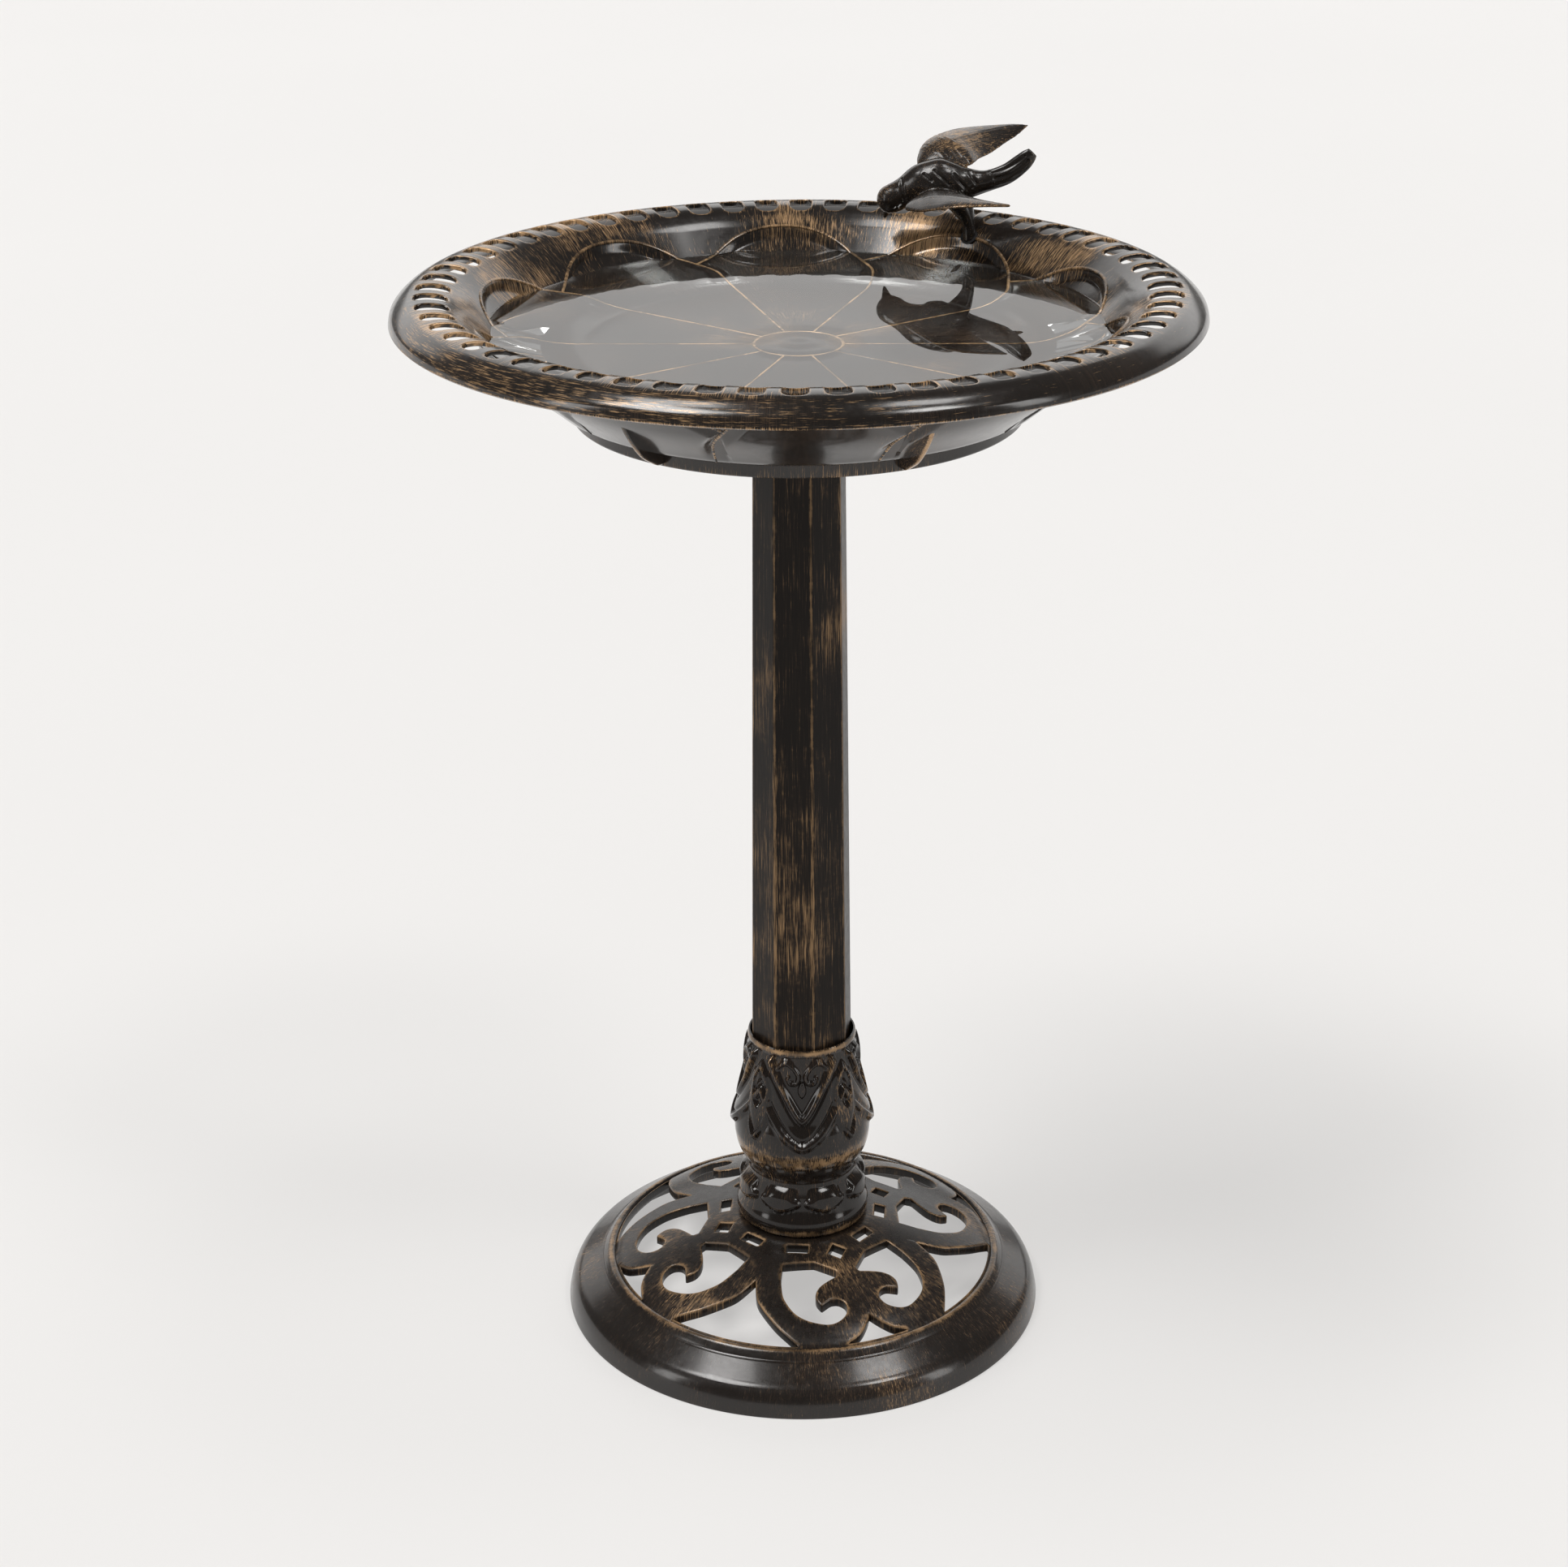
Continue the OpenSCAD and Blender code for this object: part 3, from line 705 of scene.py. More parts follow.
HEART = np.concatenate([
    [(39, 57), (19, 64), (7, 76)],
    smooth([(8, 80), (16, 82), (23, 84.5), (28, 88.5), (30, 93.5), (28.5, 99.5)], 6),
    smooth([(24, 98), (20, 97), (15.5, 98.5), (12.5, 103), (14, 109), (19, 113), (26, 114.5), (33, 112.5),
            (42, 106), (47.5, 98), (49.5, 88), (49, 80), (45, 68)], 6)])
BAND_EDGE = smooth([(61, 61), (66, 75), (66, 85), (63, 100), (58, 112), (53.9, 119.2)], 8)
NOTCH_EDGE = smooth([(0, 115), (5, 121), (12, 126.5), (21.7, 129)], 6)
GAP = np.concatenate([BAND_EDGE, arc(OPENING_R, 65.7, 24.3, 24), BAND_EDGE[::-1, ::-1]])
NOTCH = np.concatenate([NOTCH_EDGE, arc(OPENING_R, 80.5, 99.5, 12), NOTCH_EDGE[::-1] * [-1, 1]])


def block(width, depth, turn, distance):
    """A rectangle turned and moved away from the axis."""
    corners = np.array([(-1, -1), (1, -1), (1, 1), (-1, 1)]) * [width / 2, depth / 2]
    a = math.radians(turn)
    return corners @ np.array([[math.cos(a), math.sin(a)], [-math.sin(a), math.cos(a)]]) + distance


def opening_outlines():
    motif = [HEART, HEART * [-1, 1], GAP, NOTCH, block(9.5, 9.5, 45, (0, 59.5))]
    for side in (-1, 1):
        a = math.radians(27 * side)
        motif.append(block(15, 7, 27 * side, (-54 * math.sin(a), 54 * math.cos(a))))
    out = []
    for k in range(MOTIFS):
        a = math.radians(MOTIF_TURN - 90 + k * 360 / MOTIFS)
        spin = np.array([[math.cos(a), math.sin(a)], [-math.sin(a), math.cos(a)]])
        out += [outline @ spin for outline in motif]
    return out


def closed(outline, spacing):
    return resample(np.concatenate([outline, outline[:1]]), spacing)[:-1]


def make_openwork(material):
    """A filled outline with rounded edges, cut into small faces and bent over the dome."""
    edge = 1.1
    outlines = [closed(o, 1.6) for o in opening_outlines()]
    drawn = [arc(BEAD_IN_R + 2, 0, 360, 361)[:-1], arc(5, 0, 360, 33)[:-1]] + outlines
    curve = bpy.data.curves.new("openwork", "CURVE")
    curve.dimensions = "2D"
    curve.fill_mode = "BOTH"
    curve.extrude = (OPENWORK_T / 2 - edge) * MM
    curve.bevel_depth = edge * MM
    curve.bevel_resolution = 2
    curve.offset = -edge * MM
    for outline in drawn:
        spline = curve.splines.new("POLY")
        spline.points.add(len(outline) - 1)
        for point, (x, y) in zip(spline.points, outline):
            point.co = (x * MM, y * MM, 0, 1)
        spline.use_cyclic_u = True
    drawing = new_object("openwork", curve)
    bpy.context.view_layer.update()
    mesh = evaluated_mesh(drawing)
    bm = bmesh.new()
    bm.from_mesh(mesh)
    bmesh.ops.remove_doubles(bm, verts=bm.verts, dist=0.02 * MM)
    reach, pitch = BEAD_IN_R, 3.0
    for axis in ((1, 0, 0), (0, 1, 0)):
        for at in np.arange(-reach, reach, pitch):
            bmesh.ops.bisect_plane(bm, geom=bm.verts[:] + bm.edges[:] + bm.faces[:], dist=1e-7,
                                   plane_co=Vector(axis) * float(at) * MM, plane_no=axis)
    bmesh.ops.recalc_face_normals(bm, faces=bm.faces)
    bm.to_mesh(mesh)
    bm.free()
    places = vertex_places(mesh)
    wear = edge_wear(places, outlines) * step(places[:, 2], OPENWORK_T / 2 - 1.3, OPENWORK_T / 2 - 0.4)
    r = np.hypot(places[:, 0], places[:, 1])
    places[:, 2] += dome_z(r) - OPENWORK_T / 2
    mesh.vertices.foreach_set("co", (places * MM).ravel())
    at = np.degrees(np.arctan2(places[:, 1], places[:, 0]))
    set_attributes(mesh, wear, polar(90.0, at, r * 0.12))
    mesh.shade_smooth()
    mesh.set_sharp_from_angle(angle=math.radians(35))
    finish_piece(new_object("base_openwork", mesh), "stand", material, "bronze_base", "base")


def edge_wear(places, outlines):
    """1 at the openings' edges, fading within a few millimetres."""
    samples = np.concatenate([closed(o, 0.8) for o in outlines])
    distance = distance_to(np.pad(samples, ((0, 0), (0, 1))), places * [1, 1, 0])
    return 0.65 * np.exp(-(distance / 1.3) ** 2) + 0.35 * np.exp(-distance / 6.0)


def make_flange(material):
    """The bead round the openwork and the flange that stands on the ground."""
    solid = Solid()
    top = smooth([(BEAD_IN_R - 0.6, BEAD_Z - 1), (BEAD_IN_R + 0.6, BEAD_Z + 0.8), (134, BEAD_Z + 1.5),
                  (136.5, BEAD_Z + 1.2), (139, 31.6), (140.6, 29.6)], 5)
    face = resample([(142, 28.8), (156, 20.6)], 1.0)
    skirt = np.concatenate([face, smooth([(158.4, 18.8), (161.4, 15), (163.6, 9.6), (BASE_R, 2)], 7)])
    inside = smooth([(BASE_R - 5, 7), (157, 13.5), (153, 18.4), (149, 20.9), (145, 23.2)], 4)
    foot = [(BASE_R, 0.4), (BASE_R - 0.4, 0), (BASE_R - 3.2, 0), (BASE_R - 3.6, 0.4)]
    profile = np.concatenate([top, [(141.4, 28.95)], skirt, foot, inside,
                              [(BEAD_IN_R + 0.5, BEAD_Z - OPENWORK_T)]])
    wear = bump(profile[:, 0], 135.5, 3.6) * (profile[:, 1] > 30) * 0.85
    profile = np.concatenate([profile, profile[:1]])
    wear = np.append(wear, wear[0])
    solid.lathe(profile, ROUND, wear, 0.12)
    ring = [(28, HUB_Z - 1), (28, HUB_Z + 4.6), (28.4, HUB_Z + 5), (32.4, HUB_Z + 5), (32.8, HUB_Z + 4.6),
            (32.8, HUB_Z - 1)]
    solid.lathe(ring + ring[:1], 96, 0.1)
    finish_piece(solid.build("base_flange", 40, 0.01), "stand", material, "bronze_base")


# ---- fasteners and seat

def make_top_cap(material):
    """The cap plugs the column's top and carries the spigot that the bowl drops over."""
    solid = Solid()
    plan, corner = octagon(0.115)
    levels = [(COLUMN_TOP_Z, COLUMN_TOP_R - 0.5, 0.2), (COLUMN_TOP_Z + 0.5, COLUMN_TOP_R, 0.9),
              (CAP_TOP_Z - 0.7, COLUMN_TOP_R - 0.05, 0.9), (CAP_TOP_Z - 0.2, COLUMN_TOP_R - 0.3, 1.0),
              (CAP_TOP_Z, COLUMN_TOP_R - 0.9, 0.5), (CAP_TOP_Z, SPIGOT_R, 0)]
    rows = [np.column_stack([plan * r, np.full(len(plan), z)]) for z, r, _ in levels]
    wear = [corner * 0.6 + w * 0.4 for _, _, w in levels]
    round_r = np.hypot(rows[-1][:, 0], rows[-1][:, 1])[:, None]
    rows[-1][:, :2] *= SPIGOT_R / round_r
    directions = np.degrees(np.arctan2(plan[:, 1], plan[:, 0]))
    spigot = [(SPIGOT_R, SPIGOT_TOP_Z - 1.2, 0.4), (SPIGOT_R - 0.4, SPIGOT_TOP_Z - 0.4, 0.8),
              (SPIGOT_R - 1.2, SPIGOT_TOP_Z, 0.6), (14, SPIGOT_TOP_Z, 0.3), (13.3, SPIGOT_TOP_Z - 0.3, 0.5),
              (13, SPIGOT_TOP_Z - 1, 0.2), (13, CAP_TOP_Z + 6.5, 0.1), (12.5, CAP_TOP_Z + 6, 0.1),
              (4.5, CAP_TOP_Z + 6, 0), (4.5, COLUMN_TOP_Z - 20, 0)]
    for r, z, share in spigot:
        rows.append(polar(np.full(len(plan), float(r)), directions, z))
        wear.append(np.full(len(plan), share))
    bottom = plan * (COLUMN_TOP_R - COLUMN_WALL - 0.1)
    for share, z in ((0.97, COLUMN_TOP_Z - 20), (1, COLUMN_TOP_Z - 19), (1, COLUMN_TOP_Z)):
        rows.append(np.column_stack([bottom * share, np.full(len(plan), z)]))
        wear.append(np.zeros(len(plan)))
    solid.grid(np.array(rows), np.array(wear), close_rows=True, close_columns=True)
    finish_piece(solid.build("cap_with_spigot", 35), "stand", material, "bronze_column", "top_cap")


def make_rod(material):
    """A threaded rod: the skin's radius follows a helix."""
    box_low, box_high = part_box("tie_rod")
    low, high, rod_r = box_low.z / MM, box_high.z / MM, box_high.x / MM
    pitch, sides, depth = 1.25, 24, 0.35
    thread_end, thread_start = low + 60.0, high - 36.0
    solid = Solid()
    levels = np.concatenate([np.arange(low, thread_end, pitch / 5), np.arange(thread_end, thread_start, 12.0),
                             np.arange(thread_start, high, pitch / 5), [high]])
    degrees = np.arange(sides) * 360 / sides
    phase = (levels[:, None] / pitch - degrees[None, :] / 360) % 1
    threaded = (levels < thread_end) | (levels > thread_start)
    r = rod_r - depth * 2 * np.abs(phase - 0.5) * threaded[:, None]
    end = np.minimum(levels - low, high - levels)[:, None]
    r = np.minimum(r, rod_r - 0.8 + end)
    solid.rings(polar(r, degrees, levels[:, None]))
    finish_piece(solid.build("threaded_rod", 40), "stand", material, "zinc_steel", "tie_rod")


def hexagon_nut(solid, z, height, flat_r, hole_r):
    """A nut with its corners turned down at both ends and a countersunk hole."""
    steps = 60
    degrees = np.arange(steps) * 360 / steps
    hexagon = flat_r / np.cos(np.radians((degrees % 60) - 30))
    face_r = flat_r * 0.95
    drop = (hexagon - face_r) * math.tan(math.radians(28))
    lower = [(hole_r, 0.6), (hole_r + 0.6, 0), (face_r, 0), (hexagon, drop)]
    rows = [polar(r, degrees, z + up) for r, up in lower]
    rows += [polar(r, degrees, z + height - up) for r, up in reversed(lower)]
    solid.grid(np.array(rows), close_rows=True, close_columns=True)


def round_washer(solid, z, hole_r, outer_r, thickness, edge):
    """A flat ring with rounded edges."""
    top = z + thickness
    profile = [(hole_r + edge, z), (outer_r - edge, z), (outer_r - edge * 0.3, z + edge * 0.3),
               (outer_r, z + edge), (outer_r, top - edge), (outer_r - edge * 0.3, top - edge * 0.3),
               (outer_r - edge, top), (hole_r + edge, top), (hole_r, top - edge), (hole_r, z + edge)]
    solid.lathe(profile + profile[:1], 72)


def make_fasteners(steel, rubber):
    nuts, washers, seat = Solid(), Solid(), Solid()
    nut_low, nut_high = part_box("rod_nuts")
    height, flat_r, hole_r = 6.5, 6.5, 4.05
    for z in (nut_low.z / MM, nut_high.z / MM - height):
        hexagon_nut(nuts, z, height, flat_r, hole_r)
    finish_piece(nuts.build("rod_hex_nuts", 25, 0.01), "stand", steel, "zinc_steel", "rod_nuts")
    low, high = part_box("rod_washers")
    for z in (low.z / MM, high.z / MM - 1.6):
        round_washer(washers, z, 4.3, high.x / MM, 1.6, 0.35)
    finish_piece(washers.build("rod_flat_washers", 35, 0.01), "stand", steel, "zinc_steel", "rod_washers")
    low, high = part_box("seat_washer")
    round_washer(seat, low.z / MM, SOCKET_R, high.x / MM, (high.z - low.z) / MM, 0.7)
    finish_piece(seat.build("seat_ring", 35, 0.01), "seat", rubber, "black_rubber", "seat_washer")


# ---- bird

BIRD_FOOT = polar(205.5, 56.0, 205.5 + WALL_RISE)
BODY_LINE = np.array([          # the body's middle, its half height and half width, from the brow to the tail
    (60.5, 181.5, 737.5, 7.8, 7.6), (64, 181, 738.6, 9.8, 9.4), (68, 180.4, 740.8, 9.7, 9.3),
    (73, 179.6, 743.4, 10.6, 10),
    (82, 178.6, 747.3, 14.3, 12.6), (90, 177.8, 748.2, 16.6, 13.8), (97, 177, 748.6, 17.1, 13.6),
    (105, 176.4, 749, 14, 12), (112.5, 176, 749.3, 10.8, 10), (125.7, 175.6, 750.8, 7.2, 6.6),
    (139, 175.3, 755.4, 6.9, 4.2), (148.6, 175, 762.4, 6.6, 3.2), (153.5, 175, 767, 5.6, 2.8),
    (156.6, 175, 770.2, 3.8, 2.2)])
NEAR_LEAD = smooth([(71.5, 146, 738.1), (80, 131, 740.7), (87.4, 122, 743.5), (94.9, 116, 746.1),
                    (102.5, 112.5, 747.4), (110.1, 110.5, 748.2), (125.5, 109.4, 748.8),
                    (138.2, 109.2, 749)], 4)
NEAR_TRAIL = smooth([(71.6, 149, 739.3), (75.4, 158, 740.9), (79.6, 165, 741.7), (89.1, 170, 744.4),
                     (95.6, 170, 745), (104.8, 165, 744.4), (110.1, 157, 744.1), (119.4, 138, 744.8),
                     (126.5, 125, 746.6), (138.0, 110, 749.2)], 4)
FAR_LEAD = smooth([(80.7, 189, 759), (80.9, 196, 762.4), (83.1, 202, 766.8), (86.5, 208, 770.3),
                   (92.4, 214, 772.6), (99.1, 220, 773.9), (106.6, 226, 774.8), (115.8, 232, 774.8),
                   (132.5, 240, 774.6), (149.2, 246.5, 774), (158.2, 249.4, 772.6)], 4)
FAR_TRAIL = smooth([(81.5, 186, 757), (87.5, 184, 760.5), (97.8, 182, 761.5), (111.2, 180, 760.1),
                    (116.4, 181, 760.9), (122.1, 194, 761.9), (130.9, 208, 762.8), (142.4, 226, 766.2),
                    (151.2, 238, 769), (158.2, 249, 772.4)], 4)
# Grooves of the near side, as (x, z) points
BODY_GROOVES = ([(84, 757), (89, 753.5)], [(91, 759.5), (96, 755.5), (101, 751)],
                [(104, 757), (111.5, 748.5)], [(114.5, 758), (119, 751)],
                [(69, 753.5), (69, 748), (71.5, 738.5)])
TAIL_GROOVES = ([(129, 757), (138, 759.5), (146, 764), (151, 768)],
                [(131, 753.5), (140, 756), (147, 760.5), (152.5, 765)])
EYE = np.array([58.5, 173.5, 738.5])


def loft(solid, line, sides=28):
    """Rings square to the line, closed at both ends."""
    line = smooth(line, 5)
    centre, high, wide = line[:, :3], line[:, 3], line[:, 4]
    tangent = unit(np.gradient(centre, axis=0))
    side = unit(np.cross(tangent, [0, 0, 1.0]))
    solid.rings(ring_points(centre, side, np.cross(side, tangent), wide, high, sides))


def ball(solid, centre, radii, count=20):
    down = np.linspace(0.02, math.pi - 0.02, count)[:, None]
    p = polar(np.sin(down), np.arange(2 * count) * 180 / count, np.cos(down))
    solid.rings(p * np.asarray(radii) + np.asarray(centre))


def wing_sheet(lead, trail, across=13):
    """Middle surface of a wing between its leading and trailing edges, hollow underneath."""
    lead, trail = spread(lead, 48), spread(trail, 48)
    share = np.linspace(0, 1, across)[None, :, None]
    sheet = lead[:, None] * (1 - share) + trail[:, None] * share
    width = np.linalg.norm(trail - lead, axis=1)[:, None]
    sheet[:, :, 2] += 0.10 * width * 4 * share[..., 0] * (1 - share[..., 0])
    return sheet


def add_wing(solid, sheet, root, tip):
    """The sheet given a thickness that falls from root to tip and towards its edges."""
    rows, columns = sheet.shape[:2]
    normal = np.cross(np.gradient(sheet, axis=0), np.gradient(sheet, axis=1))
    normal /= np.linalg.norm(normal, axis=2)[:, :, None] + 1e-9
    normal *= np.sign(normal[:, :, 2:] + 1e-9)
    span = np.linspace(0, 1, rows)[:, None]
    chord = np.linspace(0, 1, columns)[None, :]
    half = (root + (tip - root) * span) / 2 * (0.55 + 0.45 * np.sqrt(np.clip(4 * chord * (1 - chord), 0, 1)))
    top, low = sheet + normal * half[..., None], sheet - normal * half[..., None]
    start = solid.count
    solid.grid(top)
    solid.grid(low, flip=True)
    n = rows * columns
    border = list(range(columns))
    border += [i * columns + columns - 1 for i in range(1, rows)]
    border += [(rows - 1) * columns + j for j in range(columns - 2, -1, -1)]
    border += [i * columns for i in range(rows - 2, 0, -1)]
    for a, b in zip(border, border[1:] + border[:1]):
        solid.faces.append((start + a, start + b, start + b + n, start + a + n))


def feather_lines(sheet, shares, first, last):
    """Lines that run from root to tip across a wing's sheet."""
    rows, columns = sheet.shape[:2]
    part = sheet[int(first * rows):int(last * rows)]
    return [part[:, int(round(share * (columns - 1)))] for share in shares]


def press_in(places, normals, distance, half_width, depth):
    """A groove along distance 0, with a lip raised on each side of it."""
    press = depth * np.exp(-(distance / half_width) ** 2)
    lip = 0.18 * depth * np.exp(-((distance - 2 * half_width) / half_width) ** 2)
    return places - normals * (press - lip)[:, None], press


def carve(places, normals, lines, half_width, depth):
    """Presses grooves along the lines into a skin."""
    samples = np.concatenate([resample(line, 0.4) for line in lines])
    return press_in(places, normals, distance_to(samples, places), half_width, depth)


def carve_side(places, normals, lines, where, half_width, depth):
    """Presses grooves, given as (x, z) points, into the part of a skin that `where` picks."""
    samples = np.concatenate([resample(line, 0.4) for line in lines])
    reach = np.full(len(places), 99.0)
    flat = places[where][:, [0, 2]]
    reach[where] = np.sqrt(((flat[:, None] - samples[None]) ** 2).sum(axis=2)).min(axis=1)
    return press_in(places, normals, reach, half_width, depth)


def far_line(sheet, start, end):
    """A straight quill groove over a wing sheet, from one (along, across) share to another."""
    shares = np.linspace(start, end, 24)
    rows = np.clip(shares[:, 0] * (len(sheet) - 1), 0, len(sheet) - 1).astype(int)
    columns = np.clip(shares[:, 1] * (sheet.shape[1] - 1), 0, sheet.shape[1] - 1).astype(int)
    return np.array([sheet[i, j, :3] for i, j in zip(rows, columns)])


def upright_loft(solid, line, sides=24):
    """Level rings, for the leg."""
    turn = np.arange(sides) * 2 * math.pi / sides
    rows = [np.column_stack([x + wide * np.cos(turn), y + high * np.sin(turn), np.full(sides, z)])
            for x, y, z, high, wide in line]
    solid.rings(np.array(rows))


def bird_leg():
    """The leg's rings from under the foot up into the breast: middle, half height and half width."""
    x, y, z = BIRD_FOOT
    return np.array([(x, y, z - 3, 4.3, 4.3), (x, y, z + 3, 4.2, 4.2), (x - 0.4, y + 0.4, z + 7.5, 4.5, 4.4),
                     (x - 2.5, y + 1.8, z + 13, 6.4, 6), (x - 6.5, y + 4, z + 20, 9.4, 9),
                     (x - 10, y + 5.5, z + 27, 10.5, 10)])


def cast_bird(near, far):
    """Body, head, beak, leg and wings melted into one skin."""
    solid = Solid()
    loft(solid, BODY_LINE)
    ball(solid, (62.7, 181, 738), (9.8, 9.4, 9.6))
    beak = smooth([(60.4, 183.5, 732, 4.6, 4.2), (59.6, 185.6, 728.6, 3.1, 2.8), (58.8, 187, 725.4, 1.7, 1.6),
                   (58.3, 187.8, 723.2, 0.8, 0.8)], 3)
    loft(solid, beak, 16)
    upright_loft(solid, smooth(bird_leg(), 4))
    add_wing(solid, near, 3.4, 2.0)
    add_wing(solid, far, 3.6, 2.0)
    rough = solid.build("bird_rough", 180)
    remesh = rough.modifiers.new("remesh", "REMESH")
    remesh.mode = "VOXEL"
    remesh.voxel_size = 0.75 * MM
    even_out = rough.modifiers.new("even", "SMOOTH")
    even_out.factor = 0.5
    even_out.iterations = 6
    mesh = evaluated_mesh(rough)
    mesh.name = "bird_cast"
    return mesh


def groove_bird(places, normals, near, far):
    """Presses the feathers in and raises the eye. Returns the places, and how deep each was pressed."""
    lines = feather_lines(far, (0.45, 0.72), 0.35, 0.86) + feather_lines(near, (0.35, 0.6), 0.25, 0.85)
    places, press = carve(places, normals, lines, 0.8, 0.8)
    quills = [far_line(far, (0.17, 0.1), (0.2, 0.85)), far_line(far, (0.33, 0.06), (0.28, 0.9))]
    places, quill = carve(places, normals, quills, 1.0, 1.3)
    on_body = (normals[:, 1] < 0.35) & (places[:, 1] > 158) & (places[:, 1] < 176)
    places, deep = carve_side(places, normals, BODY_GROOVES, on_body, 0.9, 1.0)
    tail = [smooth(line, 4) for line in TAIL_GROOVES]
    places, deep_tail = carve_side(places, normals, tail, places[:, 0] > 122, 0.9, 0.9)
    near_eye = np.linalg.norm(places - EYE, axis=1)
    places += normals * (0.8 * np.exp(-(near_eye / 1.6) ** 2))[:, None]
    return places, press + quill + deep + deep_tail


def stand_on_wall(places):
    """Lifts what is under the foot to just above the bowl's wall."""
    clearance = places[:, 2] - (wall(np.hypot(places[:, 0], places[:, 1]))[1] + 1.4)
    foot_near = np.hypot(places[:, 0] - BIRD_FOOT[0], places[:, 1] - BIRD_FOOT[1]) < 9
    places[:, 2] += np.where(foot_near & (clearance < 0), -clearance, 0)


def make_bird(material):
    near, far = wing_sheet(NEAR_LEAD, NEAR_TRAIL), wing_sheet(FAR_LEAD, FAR_TRAIL)
    mesh = cast_bird(near, far)
    places = vertex_places(mesh)
    normals = np.zeros(places.size)
    mesh.vertex_normals.foreach_get("vector", normals)
    places, pressed = groove_bird(places, normals.reshape(-1, 3), near, far)
    stand_on_wall(places)
    mesh.vertices.foreach_set("co", (places * MM).ravel())
    rim_distance = distance_to(np.concatenate([NEAR_LEAD, NEAR_TRAIL, FAR_LEAD, FAR_TRAIL]), places)
    tail_end = step(places[:, 0], 150, 158) * (places[:, 2] > 760) * (places[:, 1] < 185)
    worn = 0.75 * np.exp(-(rim_distance / 1.8) ** 2) + 0.4 * tail_end - 0.6 * np.clip(pressed, 0, 1)
    along = places @ np.array([0.80, 0.58, 0.12])
    grain = np.column_stack([along * 0.10, places @ np.array([-0.58, 0.80, 0.0]), places[:, 2]])
    set_attributes(mesh, worn, grain)
    mesh.shade_smooth()
    finish_piece(new_object("bird_cast", mesh), "basin", material, "bronze_bird", "bird")


# ---- materials

def link(tree, source, socket):
    """Feeds a socket from another, or sets its number or colour."""
    if isinstance(source, bpy.types.NodeSocket):
        tree.links.new(source, socket)
    else:
        socket.default_value = source


def maths(tree, kind, *values, clamp=False):
    node = tree.nodes.new("ShaderNodeMath")
    node.operation = kind
    node.use_clamp = clamp
    for socket, value in zip(node.inputs, values):
        link(tree, value, socket)
    return node.outputs[0]


def times(tree, first, second):
    return maths(tree, "MULTIPLY", first, second)


def plus(tree, first, second):
    return maths(tree, "ADD", first, second)


def object_place(tree):
    """The position on the object, in metres."""
    return tree.nodes.new("ShaderNodeTexCoord").outputs["Object"]


def noise(tree, place, scale, detail=3.0, roughness=0.55, distortion=0.0):
    node = tree.nodes.new("ShaderNodeTexNoise")
    link(tree, place, node.inputs["Vector"])
    names = ("Scale", "Detail", "Roughness", "Distortion")
    for name, value in zip(names, (scale, detail, roughness, distortion)):
        node.inputs[name].default_value = value
    return node.outputs["Fac"]


def remap(tree, value, low, high, out_low=0.0, out_high=1.0):
    node = tree.nodes.new("ShaderNodeMapRange")
    node.interpolation_type = "SMOOTHSTEP"
    names = ("Value", "From Min", "From Max", "To Min", "To Max")
    for name, source in zip(names, (value, low, high, out_low, out_high)):
        link(tree, source, node.inputs[name])
    return node.outputs["Result"]


def blend_colour(tree, factor, first, second):
    node = tree.nodes.new("ShaderNodeMix")
    node.data_type = "RGBA"
    sockets = {s.identifier: s for s in node.inputs}
    link(tree, factor, sockets["Factor_Float"])
    link(tree, (*first, 1) if isinstance(first, tuple) else first, sockets["A_Color"])
    link(tree, (*second, 1) if isinstance(second, tuple) else second, sockets["B_Color"])
    return next(s for s in node.outputs if s.identifier == "Result_Color")


def attribute(tree, name, output):
    node = tree.nodes.new("ShaderNodeAttribute")
    node.attribute_name = name
    return node.outputs[output]


def new_material(name, **constants):
    material = bpy.data.materials.new(name)
    material.use_nodes = True
    tree = material.node_tree
    tree.nodes.clear()
    out = tree.nodes.new("ShaderNodeOutputMaterial")
    shader = tree.nodes.new("ShaderNodeBsdfPrincipled")
    tree.links.new(shader.outputs["BSDF"], out.inputs["Surface"])
    for key, value in constants.items():
        shader.inputs[key.replace("_", " ")].default_value = value
    return material, tree, shader


def rough_skin(tree, shader, height, strength, distance):
    node = tree.nodes.new("ShaderNodeBump")
    node.inputs["Strength"].default_value = strength
    node.inputs["Distance"].default_value = distance
    link(tree, height, node.inputs["Height"])
    tree.links.new(node.outputs["Normal"], shader.inputs["Normal"])


NEAR_BLACK = (0.010, 0.0075, 0.006)
BROWN = (0.034, 0.022, 0.015)
BRONZE = (0.50, 0.31, 0.155)


